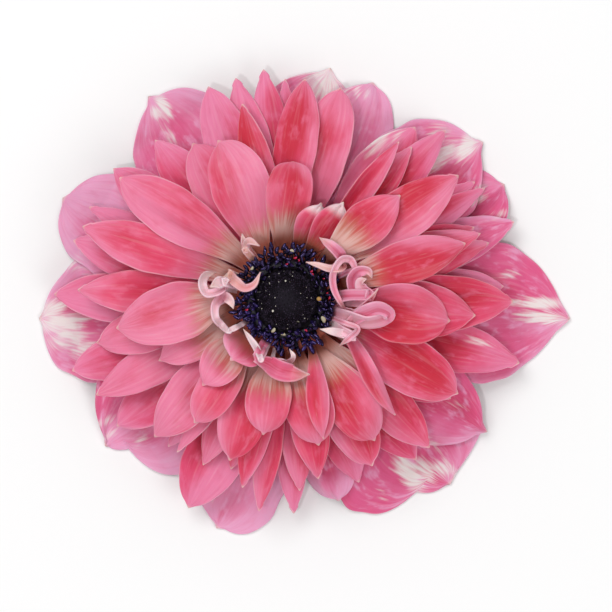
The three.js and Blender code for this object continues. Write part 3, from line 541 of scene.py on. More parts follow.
# %% [markdown]
# ## The relief of the living surface
# Between its veins a petal is pleated very slightly, it has a crease along the middle and soft lumps,
# and its margin ruffles. Sums of sines with seeded phases give each petal its own relief.

# %% Relief
PLEAT = (0.07, 2.6)  # depth, and mm from one pleat to the next
CREASE = (0.22, 0.9)  # depth and breadth
RUFFLE = 0.26
WANDER = 0.016  # how far the outline strays, as a share of the width


def relief(petal, s, t, random):
    """How far the living surface stands off the smooth sheet, and how the outline wanders

    In each sine, side and along are divided by a length in mm.
    """
    side, along = petal.width / 2 * s, petal.length * t
    phases = random.uniform(0, 2 * np.pi, 12)
    body = np.sin(np.pi * np.clip(t, 0, 1)) ** 0.6
    pleats = PLEAT[0] * np.cos(2 * np.pi * side / PLEAT[1] + 0.5 * np.sin(along / 5 + phases[0]))
    crease = -CREASE[0] * np.exp(-((side / CREASE[1]) ** 2)) * (1 - t**3)
    lumps = 0.26 * np.sin(along / 3.4 + phases[1] + side / 4)
    lumps = lumps + 0.18 * np.sin(side / 1.9 + phases[2] - along / 6.5)
    outward = np.abs(s) ** 3 * t**1.5 * min(1, petal.width / 9)
    sign = np.where(s > 0, 1, -1)
    ruffle = RUFFLE * outward * (
        np.sin(along / 1.6 + phases[3] * sign) + 0.5 * np.sin(along / 0.75 + phases[4] * sign))
    drift = 1 + WANDER * petal.ragged * np.clip(4 * t - 1, 0, 1) * (
        np.sin(along / 2.3 + phases[5] * sign) + 0.7 * np.sin(along / 0.9 + phases[6] * sign))
    rolled = petal.rolled * np.clip((t - 0.72) / 0.28, 0, 1) ** 2
    fringe = petal.fringed * np.clip((t - 0.6) / 0.4, 0, 1) * np.abs(np.sin(side / 0.8 + phases[7]))
    return body * (pleats + crease + lumps) + ruffle + rolled + fringe, drift


# %% [markdown]
# ## What the material must know
# The colour of a petal depends on the place on it: pale towards the claw and the margin, flushed in
# drifts, deepest in its heart. Light and shade are painted in too: each petal is paler on one side and
# deeper on the other, and deeper red in its creases and hollows. A texture image could hold that, but
# numbers at the mesh's own points need no unwrapping, and the shader adds the fine streaks to them.

# %% Facts of a petal's points
PALER_SIDE = math.radians(165)  # petals on this side of the bloom are paler and less red
CREASE_PAINTED_SHADE = 0.12  # painted shade: how much deeper the colour is in a full crease, deeper in hollows and paler on raised parts
TIP_DOT = 0.9  # mm of dry tissue at the very tip


def petal_facts(petal, s, t, points, off, random):
    """What the material needs of each point: its place on the petal and its shares of the tints"""
    side, along = petal.width / 2 * s, petal.length * t
    phases = random.uniform(0, 2 * np.pi, 6)
    # painted highlight on one side of each petal and painted shade on the other
    painted_lit_side = random.uniform(-1, 1)
    paler = 0.5 + 0.5 * math.cos(math.radians(petal.root + petal.swing) - PALER_SIDE)
    radius = np.hypot(points[..., 0], points[..., 1])
    margin = np.minimum(pointed_width(petal, t) * (1 - np.abs(s)), (1 - t) * petal.length)
    drifts = 0.3 * np.sin(side / 2.1 + phases[0] + along / 9)
    drifts = drifts + 0.25 * np.sin(along / 4.3 + phases[1] + side / 5)
    blush = petal.blush * (0.05 + 0.4 * paler + 0.25 * random.uniform(-1, 1)) + 0.35 * drifts
    blush = blush + 0.45 * painted_lit_side * s + 0.4 * np.clip((t - 0.7) / 0.3, 0, 1) ** 1.5
    blush = blush + 0.25 * np.clip((0.5 - t) / 0.35, 0, 1) + 0.3 * np.exp(-margin)
    # the deep red heart is pushed towards the painted shaded side
    heart = np.exp(-(((s + 0.5 * painted_lit_side) / 0.55) ** 2) - ((t - 0.62) / 0.26) ** 2)
    deep = heart * (0.4 + 0.4 * random.random()) * (1.35 - paler) - 0.3 * drifts
    # painted shade in creases and hollows, and paler colour on the raised parts
    deep = deep + petal.deepen - CREASE_PAINTED_SHADE * off / CREASE[0]
    white = petal.fringed * np.clip((t - 0.72) / 0.15, 0, 1)
    return dict(
        plan_u=side + 37.0 * petal.number, plan_v=along, margin=margin, out=radius, white=white,
        claw=radius - petal.cream_out,
        blush=np.clip(blush, 0, 1), deep=np.clip(deep, 0, 1),
        tip=np.clip(1 - (1 - t) * petal.length / TIP_DOT, 0, 1),
    )


# %% The fine grid of one petal
GRIDS = ((72, 40), (64, 30), (48, 18))  # rows and columns of a broad, a wide and a narrow petal
LOWEST = 0.2  # mm over the surface, for a petal's middle sheet


def fine_rows(petal):
    """Stations along and across: closer together at the tip and at the margins"""
    rows, columns = GRIDS[size_class(petal)]
    t = 1 - (1 - np.linspace(0, 1, rows)) ** 1.7
    t[-1] = 1 - 0.25 * (1 - t[-2])
    s = np.sin(np.linspace(-1, 1, columns) * np.pi / 2 * 0.86) / math.sin(np.pi / 2 * 0.86)
    return t, s


def fine_petal(petal, net_points, stations, rows):
    """The middle sheet of a petal as a grid of points, with their facts"""
    t, s = fine_rows(petal)
    random = np.random.default_rng(petal.number)
    lifted, start = [], 0
    for row in rows:
        lift = net_points[start:start + len(row), 2] - row[:, 2]
        start += len(row)
        if len(row) == 1:
            lifted.append(np.full(len(s), lift[0]))
        else:
            lifted.append(smooth_through(np.linspace(-1, 1, len(row)), lift[:, None], s)[:, 0])
    lift = smooth_through(stations, np.array(lifted), t)
    s_grid, t_grid = np.meshgrid(s, t)
    off, drift = relief(petal, s_grid, t_grid, random)
    middle, along, left = centre_line(petal, t_grid)
    aside = s_grid * pointed_width(petal, t_grid) * drift * stepped(petal, s_grid, t_grid)
    height = np.maximum(sheet_height(petal, s_grid, t_grid) + lift + off, LOWEST)
    points = np.concatenate([middle + left * aside[..., None], height[..., None]], -1)
    if petal.rolled:
        inward = petal.rolled * np.clip((t_grid - 0.8) / 0.2, 0, 1) ** 2
        points[..., :2] -= along * inward[..., None]
    return points, petal_facts(petal, s_grid, t_grid, points, off, random)


# %% [markdown]
# ## Blades
# A petal is a thin closed skin: an upper face, an under face and a rim that narrows to the edge. A
# Solidify modifier could add the thickness, but its even edge looks like card, so both faces are
# made here from the surface's own normals.

# %% From a grid to a closed blade
def grid_normals(points):
    along, across = np.gradient(points, axis=0), np.gradient(points, axis=1)
    normals = np.cross(across, along)
    normals /= np.maximum(np.linalg.norm(normals, axis=-1, keepdims=True), 1e-9)
    return normals * np.where(normals[..., 2:].mean() < 0, -1, 1)


def squares(rows, columns, closed=()):
    """The squares of a grid of points, which closes up along the axes that are given"""
    index = np.arange(rows * columns).reshape(rows, columns)
    for axis in closed:
        index = np.concatenate([index, index.take([0], axis)], axis)
    corners = [index[:-1, :-1], index[:-1, 1:], index[1:, 1:], index[1:, :-1]]
    return np.stack(corners, -1).reshape(-1, 4)


def rim_squares(rows, columns):
    """The squares between the borders of a grid and of a second one that follows it"""
    index = np.arange(rows * columns).reshape(rows, columns)
    loop = np.concatenate([index[0], index[1:, -1], index[-1, -2::-1], index[-2:0:-1, 0]])
    ahead = np.roll(loop, -1)
    return np.stack([ahead, loop, index.size + loop, index.size + ahead], -1)


def blade(points, facts, thickness):
    """Vertices, faces and facts of a closed blade from its middle sheet"""
    size = points.shape[:2]
    offset = grid_normals(points) * thickness[..., None] / 2
    upper = squares(*size)
    faces = np.concatenate([upper, upper[:, ::-1] + thickness.size, rim_squares(*size)])
    twice = {name: np.tile(value.ravel(), 2) for name, value in facts.items()}
    twice["underside"] = np.repeat([0.0, 1.0], thickness.size)
    return np.stack([points + offset, points - offset]).reshape(-1, 3), faces, twice


# %% From parts to a piece
def make_piece(name, node_name, parts):
    """An object in the place of a node, with its facts as attributes for the materials to read"""
    starts = np.cumsum([0, *(len(points) for points, _, _ in parts)])
    vertices = np.concatenate([points for points, _, _ in parts])
    faces = np.concatenate([quads + start for (_, quads, _), start in zip(parts, starts)])
    mesh = bpy.data.meshes.new(name)
    placed = np.clip((vertices + [*AXIS, LEVEL]) * MM, cad_low, cad_high)  # a margin's lobe may stray
    mesh.from_pydata(placed.tolist(), [], faces.tolist())
    for fact in sorted({fact for _, _, facts in parts for fact in facts}):
        values = [facts.get(fact, np.zeros(len(points))) for points, _, facts in parts]
        attribute = mesh.attributes.new(fact, "FLOAT", "POINT")
        attribute.data.foreach_set("value", np.concatenate(values).astype(np.float32))
    mesh.shade_smooth()
    piece = bpy.data.objects.new(name, mesh)
    bpy.context.scene.collection.objects.link(piece)
    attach(piece, "root")
    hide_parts(node_name)
    print(f"{name}: {2 * len(faces)} triangles")
    return piece


# %% [markdown]
# ## The tissue that joins a whorl
# The claws of a whorl grow out of a low cushion round the receptacle. It is hidden from above, but a
# flower that is turned over shows it between the tepals, so each whorl gets its ring.

# %% Ring of tissue under the claws
COLLAR_INNER = 7.0
COLLAR_OUTER = 9.1


def round_axis(radius, turn, height):
    """Points at these distances from the axis, turns and heights"""
    points = [radius * np.cos(turn), radius * np.sin(turn), height + 0 * turn]
    return np.stack(points, -1).reshape(-1, 3)


def ring(radius, turn, height):
    """A closed ring round the axis, from the radii and heights of its section"""
    points = round_axis(radius, turn, height)
    return points, squares(len(turn), len(points) // len(turn), closed=(0, 1))[:, [0, 3, 2, 1]]


def tissue_ring(index, around=120, section=14):
    """The cushion of a whorl, which swells once for each petal"""
    turn = np.linspace(0, 2 * np.pi, around, endpoint=False)[:, None]
    angle = np.linspace(0, 2 * np.pi, section, endpoint=False)[None, :]
    middle = (COLLAR_INNER + COLLAR_OUTER) / 2
    wide, high = (COLLAR_OUTER - COLLAR_INNER) / 2, COLLAR_THICK / 2
    swell = 1 + 0.06 * np.sin(len(WHORLS[index]["petals"]) * turn)
    outward, upward = (np.sign(wave) * np.abs(wave) ** 0.7 for wave in (np.cos(angle), np.sin(angle)))
    radius = middle + wide * swell * outward
    points, faces = ring(radius, turn, collar_base(index) + high + high * upward)
    facts = dict(plan_u=(middle * turn + 0 * angle).ravel(), plan_v=(0 * turn + angle).ravel(),
                 margin=np.full(len(points), 3.0), out=radius.ravel(), claw=radius.ravel())
    return points, faces, facts


# %% [markdown]
# ## Cream splashes
# The outer tepals fade to cream in patches near their ends, streaked lengthwise as the veins run.
# They are a matter of colour only. Each patch is given as a place and a size on the bloom, and the
# material breaks its edge up along the veins.

# %% Where the tepals turn cream
PATCHES = [  # azimuth, radius, length along the tepal, breadth, strength
    (122.4, 41.7, 5.0, 2.2, 1.0), (124.9, 41.3, 3.0, 2.0, 0.9), (125.4, 36.4, 6.0, 1.2, 0.7),
    (170.0, 39.0, 5.0, 3.5, 0.5), (182.5, 42.9, 6.0, 4.2, 0.9), (185.8, 40.9, 9.0, 4.0, 0.95),
    (190.0, 40.1, 8.0, 4.6, 0.85), (193.4, 38.5, 6.0, 3.4, 0.7), (175.5, 43.5, 4.0, 3.0, 0.6),
    (80.0, 40.0, 9.0, 8.5, 0.85), (76.8, 40.0, 6.0, 3.0, 0.7),
    (71.5, 39.8, 2.6, 1.4, 0.7), (68.8, 40.1, 2.4, 1.2, 0.7),
    (40.3, 42.4, 6.0, 3.2, 0.95), (42.9, 38.9, 8.0, 3.0, 0.8), (41.4, 43.9, 4.0, 3.0, 0.8),
    (47.5, 40.5, 6.0, 4.0, 0.5), (29.9, 39.6, 4.5, 1.8, 0.7), (27.7, 38.4, 4.5, 1.6, 0.6),
    (22.0, 41.5, 3.0, 1.6, 0.6), (359.7, 40.4, 6.0, 1.6, 0.9), (359.3, 45.9, 9.0, 2.2, 0.95),
    (356.1, 46.3, 8.6, 2.4, 1.0), (6.2, 40.0, 4.5, 1.6, 0.6),
    (305.1, 38.4, 8.0, 3.6, 1.0), (309.0, 39.6, 6.0, 3.0, 0.9), (312.2, 41.4, 4.0, 2.4, 0.8),
    (314.0, 42.4, 4.0, 2.0, 0.7), (315.3, 36.5, 5.0, 2.0, 0.5), (296.3, 39.0, 4.0, 2.0, 0.45),
    (249.6, 38.2, 3.0, 1.2, 0.6), (213.5, 40.0, 5.0, 1.6, 0.7), (217.2, 40.3, 5.0, 1.4, 0.7),
    (223.9, 36.5, 4.0, 1.6, 0.6), (328.6, 36.3, 4.0, 1.4, 0.4),
]
LOW_PATCHES = [(60.6, 34.4, 8.0, 4.0, 0.8), (57.0, 36.5, 5.0, 2.4, 0.6), (347.7, 35.1, 5.5, 1.6, 0.6)]


def cream_field(points, patches):
    """How cream each point is, from 0 to 1"""
    radius = np.hypot(points[..., 0], points[..., 1])
    azimuth = np.degrees(np.arctan2(points[..., 1], points[..., 0]))
    field = np.zeros(radius.shape)
    for at, out, length, breadth, strength in patches:
        aside = radius * np.radians(signed_angle(at, azimuth))
        away = np.sqrt((2 * aside / breadth) ** 2 + (2 * (radius - out) / length) ** 2)
        field = np.maximum(field, strength * np.clip(1.35 - 0.8 * away, 0, 1))
    return field


print(len(PATCHES) + len(LOW_PATCHES), "cream patches")


# %% Lay and refine the whorls
TISSUE = 0.34  # thickness of the fine petal
THIN_EDGE = 0.12
skyline = np.full((SIDE, SIDE), NOTHING)
whorl_parts = {}
for index, whorl in enumerate(WHORLS):
    below, beside = widened(skyline), np.full((SIDE, SIDE), NOTHING)
    parts = [tissue_ring(index)]
    for petal in petals_of(whorl, index):
        stations, rows = petal_net(petal)
        net_points, triangles = drape(rows, 2, below, widened(beside))
        rasterise(net_points, triangles, beside)
        points, facts = fine_petal(petal, net_points, stations, rows)
        if index < 2:
            facts["cream"] = cream_field(points, (PATCHES, LOW_PATCHES)[index])
        s_share = np.abs(np.linspace(-1, 1, points.shape[1]))[None, :]
        t_share = np.linspace(0, 1, points.shape[0])[:, None]
        edge = s_share**6 + (1 - s_share**6) * t_share**14  # 0 over most of the petal, 1 at its rim
        parts.append(blade(points, facts, TISSUE + (THIN_EDGE - TISSUE) * edge))
    skyline = np.maximum(skyline, beside)
    whorl_parts[whorl["name"]] = parts
print("highest petal at", round(skyline.max(), 2), "mm")

# %% [markdown]
# ## The curled inmost petals
# Round the stamens stand slender petals that twist, roll and cross one another. Each follows a line
# of points over the bloom, with a height over whatever it crosses, and its edges roll in.

# %% Lines of the curled petals
UNDER_ANTHERS = 11.6  # a curled petal stays low, under the anthers, out to this radius
STAMEN_TOP = 19.1  # nothing lower than this is over the ring of stamens
STAMEN_RADIUS = 10.7
RIBBON_ROWS = 1.15  # rows of the coarse net for each point of a line
RIBBON_TISSUE = 0.26  # mm thick
RIBBON_GRID = (12, 9)  # fine rows for each point of a line, and fine points across
BEYOND_CLAW = 21.0  # farther out than the claws' tints reach
RIBBONS = [  # lean, tint, points from root to tip: x, y, height over what lies beneath, width
    (20, "pink", [(9.9, 6.8, 0.8, 1.3), (9.3, 8.2, 1.3, 2.2), (7.8, 9.7, 1.5, 1.8),
        (5.8, 11.2, 1.2, 0)]),
    (15, "tan", [(9.2, 5.6, 1.2, 1.4), (7.6, 5.6, 1.0, 1.3), (5.4, 6.3, 0.7, 0.9), (3.4, 6.8, 0.5, 0)]),
    (-25, "pink", [(12.2, 5.6, 0.8, 1.0), (11.5, 7.2, 1.6, 1.4), (10.0, 7.4, 2.2, 1.3),
        (8.7, 6.0, 1.4, 1.2), (8.1, 4.0, 0.8, 1.3), (8.4, 1.8, 0.6, 1.2),
        (9.4, -0.2, 0.5, 0.9), (11.1, -2.4, 0.5, 0)]),
    (30, "pink", [(13.0, 0.2, 0.8, 2.4), (12.0, 1.8, 1.1, 3.0), (11.7, 3.8, 1.4, 2.8),
        (12.9, 5.3, 1.6, 2.2), (14.6, 5.2, 1.5, 1.6), (15.2, 3.9, 1.1, 0)]),
    (-30, "pink", [(15.0, 0.9, 0.8, 2.2), (13.8, 1.9, 1.2, 2.6), (13.3, 3.2, 1.5, 1.8),
        (14.2, 3.8, 1.6, 0)]),
    (30, "pink", [(12.2, -2.0, 0.6, 0.9), (14.3, -0.5, 1.2, 1.3), (16.3, 2.0, 1.2, 0)]),
    (20, "pink", [(14.4, -3.9, 0.5, 2.2), (16.9, -3.4, 0.8, 2.5), (18.2, -2.6, 1.7, 2.2),
        (16.5, -1.7, 2.5, 2.5), (14.0, -2.5, 2.4, 2.8), (11.6, -4.0, 1.6, 1.8),
        (9.3, -6.5, 0.9, 0)]),
    (15, "white", [(12.0, -6.6, 0.6, 1.7), (10.4, -6.2, 0.9, 1.7), (8.3, -5.7, 0.8, 1.4),
        (5.9, -5.2, 0.5, 0)]),
    (-15, "mauve", [(12.6, -5.0, 1.0, 0.9), (11.2, -6.7, 1.2, 1.1), (9.4, -8.2, 0.9, 0)]),
    (20, "white", [(-10.4, -5.6, 0.7, 0.9), (-11.7, -4.6, 0.9, 1.3), (-12.9, -3.0, 1.2, 1.4),
        (-12.9, -0.9, 1.5, 1.6), (-11.6, 0.5, 1.7, 2.0), (-10.1, -0.1, 1.2, 1.6),
        (-9.6, -1.6, 0.8, 0)]),
    (20, "white", [(-11.2, 2.0, 0.6, 0.9), (-12.8, 1.3, 0.9, 1.5), (-14.4, 1.2, 1.2, 1.5),
        (-15.2, 2.7, 1.5, 1.6), (-14.6, 4.4, 1.5, 1.4), (-12.9, 4.9, 1.1, 0)]),
    (-20, "white", [(-11.0, 3.2, 0.9, 1.4), (-12.4, 3.2, 1.2, 2.3), (-13.7, 2.3, 1.2, 0)]),
    (10, "tan", [(-10.2, 4.4, 0.9, 1.9), (-9.0, 3.2, 0.8, 1.8), (-7.6, 2.2, 0.6, 1.4),
        (-6.0, 2.7, 0.6, 1.1), (-4.7, 5.0, 0.5, 0)]),
    (15, "tan", [(-6.9, 9.3, 0.7, 0.9), (-7.7, 10.3, 1.2, 1.2), (-8.0, 11.9, 1.3, 0)]),
    (-20, "tan", [(-7.4, 9.0, 1.0, 1.3), (-6.8, 10.4, 1.6, 1.5), (-4.9, 9.7, 1.2, 0)]),
    (15, "salmon", [(-5.4, -10.3, 0.7, 1.6), (-3.4, -11.2, 1.2, 2.8), (-1.2, -12.4, 1.5, 3.6),
        (1.2, -13.0, 1.5, 3.0), (4.0, -13.3, 1.0, 0)]),
    (20, "white", [(-2.7, -11.0, 0.8, 0.7), (-1.2, -10.9, 0.9, 1.0), (0.1, -11.2, 1.2, 1.1),
        (1.1, -9.9, 0.9, 0.8), (0.5, -8.8, 0.6, 0)]),
    (0, "white", [(-4.6, -10.6, 0.7, 1.0), (-5.4, -8.6, 0.8, 1.2), (-6.6, -6.8, 0.7, 0.9),
        (-7.8, -5.2, 0.5, 0)]),
]


def centripetal(points, t):
    """A centripetal Catmull-Rom curve through the points, read at shares t of its spans"""
    ends = [2 * points[0] - points[1], *points, 2 * points[-1] - points[-2]]
    place = np.clip(t, 0, 1) * (len(points) - 1)
    first = np.minimum(place.astype(int), len(points) - 2)
    found = []
    for k, weight in zip(first, place - first):
        p = ends[k:k + 4]
        d = [max(1e-4, np.sum((p[m + 1] - p[m]) ** 2) ** 0.25) for m in range(3)]
        start = ((p[1] - p[0]) / d[0] - (p[2] - p[0]) / (d[0] + d[1]) + (p[2] - p[1]) / d[1]) * d[1]
        end = ((p[2] - p[1]) / d[1] - (p[3] - p[1]) / (d[1] + d[2]) + (p[3] - p[2]) / d[2]) * d[1]
        a, b = 2 * p[1] - 2 * p[2] + start + end, -3 * p[1] + 3 * p[2] - 2 * start - end
        found.append(((a * weight + b) * weight + start) * weight + p[1])
    return np.array(found)


def ribbon_line(points, heights):
    """The points that a curled petal follows, from its root in the collar"""
    out = np.array(points[0][:2]) / math.hypot(*points[0][:2])
    start = collar_base(len(WHORLS) - 1) + COLLAR_THICK / 2
    line = [(*out * ROOT_RADIUS, start), (*out * CLEAR_RADIUS, start + 0.1)]
    for radius in (UNDER_ANTHERS - 1.2, UNDER_ANTHERS):
        x, y = out * radius
        ground = heights[cells(y), cells(x)] + RING_GAP + SOLID_BLADE
        line.append((x, y, max(start + 0.6 * (radius - CLEAR_RADIUS), ground)))
    for x, y, height, _ in points:
        stamen_floor = STAMEN_TOP if math.hypot(x, y) < STAMEN_RADIUS + 0.3 else NOTHING
        floor = max(heights[cells(y), cells(x)], stamen_floor)
        line.append((x, y, floor + height + SOLID_BLADE / 2 + RING_GAP))
    return np.array(line)


def ribbon_sheet(line, width_at, lean, t, s, curl=0.0):
    """Points across a curled petal, which leans to one side and may roll its edges in"""
    middle = centripetal(line, t)
    along = centripetal(line, t + 0.004) - centripetal(line, t - 0.004)
    along /= np.linalg.norm(along, axis=1, keepdims=True)
    side = np.cross([0, 0, 1], along)
    side /= np.linalg.norm(side, axis=1, keepdims=True)
    angle = np.radians(lean) * np.minimum(1, 2 * t)[:, None]
    side = side * np.cos(angle) + np.cross(along, side) * np.sin(angle)
    up = np.cross(along, side)
    half = np.maximum(width_at(t), 0.08) / 2
    reach = half[:, None] * s[None, :]
    roll = curl * half[:, None] * s[None, :] ** 2 * np.minimum(1, 3 * t)[:, None]
    return middle[:, None] + side[:, None] * reach[..., None] + up[:, None] * roll[..., None]


# %% Lay the curled petals
RIBBON_TINTS = {  # shares of blush, white and tan
    "pink": (0.6, 0.22, 0.0), "white": (0.9, 0.72, 0.0), "tan": (0.5, 0.35, 0.8),
    "mauve": (1.0, 0.15, 0.25), "salmon": (0.15, 0.0, 0.0),
}
below, beside = widened(skyline), np.full((SIDE, SIDE), NOTHING)
for number, (lean, tint, points) in enumerate(RIBBONS):
    line = ribbon_line(points, below)
    spans = len(line) - 1
    widths = np.array([points[0][3]] * 4 + [point[3] for point in points])
    steps = round(RIBBON_ROWS * len(points))
    stations = np.append(0, np.linspace(1 / spans, 1, steps + 1))
    net = ribbon_sheet(line, lambda t: np.interp(t * spans, range(spans + 1), widths), lean,
                       stations, np.array([-1.0, 1.0]))
    rows = [*net[:-1], net[-1:].mean(1)]
    net_points, triangles = drape(rows, 1, below, widened(beside))
    rasterise(net_points, triangles, beside)
    t = np.linspace(0, 1, RIBBON_GRID[0] * len(points) + 1)
    s = np.linspace(-1, 1, RIBBON_GRID[1])
    fine_width = smooth_through(np.linspace(0, 1, spans + 1), widths[:, None], t)[:, 0]
    sheet = ribbon_sheet(line, lambda t: fine_width, lean, t, s, curl=0.5)
    lift = net_points[:, 2] - np.concatenate(rows)[:, 2]
    lift = smooth_through(stations, np.append(lift, lift[-1]).reshape(-1, 2), t)
    share = (s[None, :] + 1) / 2
    sheet[..., 2] += lift[:, :1] * (1 - share) + lift[:, 1:] * share
    t_grid, s_grid = np.meshgrid(t, s, indexing="ij")
    blush, white, tan = RIBBON_TINTS[tint]
    half = fine_width[:, None] / 2
    out = np.full(t_grid.shape, BEYOND_CLAW)
    facts = dict(plan_u=2.5 * half * s_grid + 41.0 * number, plan_v=t_grid * 14.0,
                 margin=half * (1 - np.abs(s_grid)), out=out, claw=out,
                 deep=0.6 * np.exp(-((s_grid / 0.4) ** 2)),
                 blush=np.clip(blush + 0.3 * s_grid * np.sin(5 * t_grid + number), 0, 1),
                 white=np.clip(white + 0.25 * np.sin(7 * t_grid + 2 * number), 0, 1),
                 tan=tan * (1 - 0.6 * t_grid), tip=t_grid**6)
    whorl_parts["curled_petals"].append(blade(sheet, facts, np.full(t_grid.shape, RIBBON_TISSUE)))
print(len(RIBBONS), "slender curled petals")

# %% Make the whorls
whorls = {name: make_piece(f"{name}_fine", name, parts) for name, parts in whorl_parts.items()}

# %% [markdown]
# ## Stamens
# A stamen is a slim filament with a grain-shaped anther of two lobes across its end. They stand in a
# ring, spread by the golden angle as plants space their parts, so that no two stand in line. Where a
# curled petal is in the way, a stamen leans further in.

# %% Grains and stalks
def swept(centres, directions, radii, sides, lobed=0.0):
    """A closed tube round the centres, with a facet at each end"""
    rings = []
    angle = np.linspace(0, 2 * np.pi, sides, endpoint=False)[:, None]
    for centre, direction, radius in zip(centres, directions, radii):
        forward = direction / np.linalg.norm(direction)
        flat = np.cross(forward, (0.0, 0.0, 1.0) if abs(forward[2]) < 0.99 else (1.0, 0.0, 0.0))
        flat /= np.linalg.norm(flat)
        up = np.cross(flat, forward)
        lobes = radius * (1 + lobed * np.cos(2 * angle))
        rings.append(centre + lobes * (np.cos(angle) * flat + 0.8 * np.sin(angle) * up))
    faces = [*squares(len(rings), sides, closed=(1,))]
    last = (len(rings) - 1) * sides
    for k in range(1, sides - 2, 2):
        faces.append((k + 2, k + 1, k, 0))
        faces.append((last, last + k, last + k + 1, last + k + 2))
    return np.concatenate(rings), np.array(faces), {}


def grain(middle, direction, length, width, bend=0.0, sides=10, rings=9, lobed=0.14, **facts):
    """A blunt oblong body, such as an anther, with the same facts all over"""
    u = np.linspace(0, 1, rings)
    forward = np.array(direction) / np.linalg.norm(direction)
    aside = np.cross(forward, (0.0, 0.0, 1.0)) * bend
    centres = middle + np.outer(u - 0.5, forward) * length + np.outer(np.sin(np.pi * u), aside)
    radii = width / 2 * np.sin(np.pi * (0.03 + 0.94 * u)) ** 0.5
    points, faces, _ = swept(centres, np.tile(forward, (rings, 1)), radii, sides, lobed)
    return points, faces, {name: np.full(len(points), float(value)) for name, value in facts.items()}


# %% Where the curled petals are
curled_tree = KDTree(len(whorls["curled_petals"].data.vertices))
for number, vertex in enumerate(whorls["curled_petals"].data.vertices):
    curled_tree.insert(vertex.co / MM - Vector((*AXIS, LEVEL)), number)
curled_tree.balance()
print(number + 1, "points to keep clear of")

# %% Build the stamens
GOLDEN_ANGLE = 2.39996
STAMEN_COUNT = 250
RING_INNER = 5.95
ANTHER_INNER = 5.6
ANTHER_OUTER = 10.0
ANTHER_HEIGHT = 17.6  # of the inmost, and the outmost stand lower
CURL_ROOM = 1.0  # from an anther to the nearest curled petal
FILAMENT_RADIUS = 0.14
ANTHERS_PAINTED_LIT_SIDE = math.radians(245)  # the side of the ring where most anthers get the violet painted highlight
PALE_SPECKS = [  # x, y and length of the odd pale anthers
    (-2.45, -5.4, 1.0), (-0.66, -6.2, 0.9), (6.5, -3.5, 1.3), (0.9, 8.8, 0.8),
    (-6.3, 5.7, 0.8), (2.0, -3.9, 0.5)]
RED_SPECKS = [  # of the red ones
    (1.5, 7.6, 0.7), (2.1, 7.1, 0.5), (0.0, 6.5, 0.5), (4.4, 5.2, 0.6), (4.6, 4.6, 0.5),
    (6.6, 3.9, 0.4), (7.6, 0.4, 0.6), (7.2, 1.3, 0.4), (3.4, -5.5, 0.6), (-7.2, -1.7, 0.6)]

random = np.random.default_rng(7)
filament_parts, anther_parts = [], []
for i in range(STAMEN_COUNT):
    share = (i + 0.5) / STAMEN_COUNT
    azimuth = i * GOLDEN_ANGLE + random.uniform(-0.08, 0.08)
    out = np.array([math.cos(azimuth), math.sin(azimuth), 0])
    across = np.array([-out[1], out[0], 0])
    height = ANTHER_HEIGHT - 0.9 * share + random.uniform(-0.5, 0.5)
    direction = out * (0.3 + 1.3 * share**2 + random.uniform(-0.7, 0.5))
    direction = direction + across * random.uniform(-0.9, 0.9)
    direction[2] = random.uniform(-0.1, 0.9) * (1.3 - share)
    length = random.uniform(1.1, 1.5) + 0.6 * share**3
    width = random.uniform(0.56, 0.74)
    # each anther's share of the violet painted highlight: random, and more towards one side of the ring
    shade = 0.6 * random.random() + 0.2 * (1 + math.cos(azimuth - ANTHERS_PAINTED_LIT_SIDE))
    bend = random.uniform(-0.15, 0.15)
    radius = math.sqrt(ANTHER_INNER**2 + (ANTHER_OUTER**2 - ANTHER_INNER**2) * share)
    middle = out * radius + (0, 0, height)
    while curled_tree.find(Vector(middle))[2] < CURL_ROOM and radius > ANTHER_INNER:
        radius -= 0.3
        middle = out * radius + (0, 0, height)
    start = out * (RING_INNER + 0.45 + 0.6 * share) + (0, 0, CENTRE_FLOOR + 0.4)
    t = np.linspace(0, 1, 6)[:, None]
    elbow = start * 0.5 + middle * 0.5 + (0, 0, 0.35) + across * bend
    stalk = start * (1 - t) ** 2 + 2 * elbow * t * (1 - t) + middle * t**2
    filament_parts.append(swept(stalk, np.gradient(stalk, axis=0), np.full(6, FILAMENT_RADIUS), 6))
    anther_parts.append(grain(middle, direction, length, width, bend, shade=shade))
for fact, specks in (("pale", PALE_SPECKS), ("red", RED_SPECKS)):
    for x, y, size in specks:
        turn = random.uniform(0, np.pi)
        direction = (math.cos(turn), math.sin(turn), 0.3)
        at = (x, y, STAMEN_TOP - 0.9)
        anther_parts.append(grain(at, direction, size, 0.55 * size, 0.1, shade=0.5, **{fact: 1}))
print(STAMEN_COUNT, "stamens out to", ANTHER_OUTER, "mm")


# %% The ring at their feet, and the two pieces
def foot_ring(around=72):
    """The low ring that the filaments grow from"""
    section = np.array([(RING_INNER, 0), (7.3, 0), (7.32, 0.9), (6.9, 1.15), (6.2, 1.3),
                        (RING_INNER, 1.2)])
    turn = np.linspace(0, 2 * np.pi, around, endpoint=False)[:, None]
    return *ring(section[:, 0], turn, CENTRE_FLOOR + section[:, 1]), {}


anthers = make_piece("anthers", "stamens", anther_parts)
filaments = make_piece("filaments", "stamens", [foot_ring(), *filament_parts])

# %% [markdown]
# ## Pistil
# The dome in the middle is a head of hundreds of tiny pistils, each ending in a dark velvety tip. A
# bump texture would leave its outline smooth, so each tip is a small grain of its own, set by the
# golden angle over the dome. Specks of pollen lie on it, and one tan ball rolled against its edge.

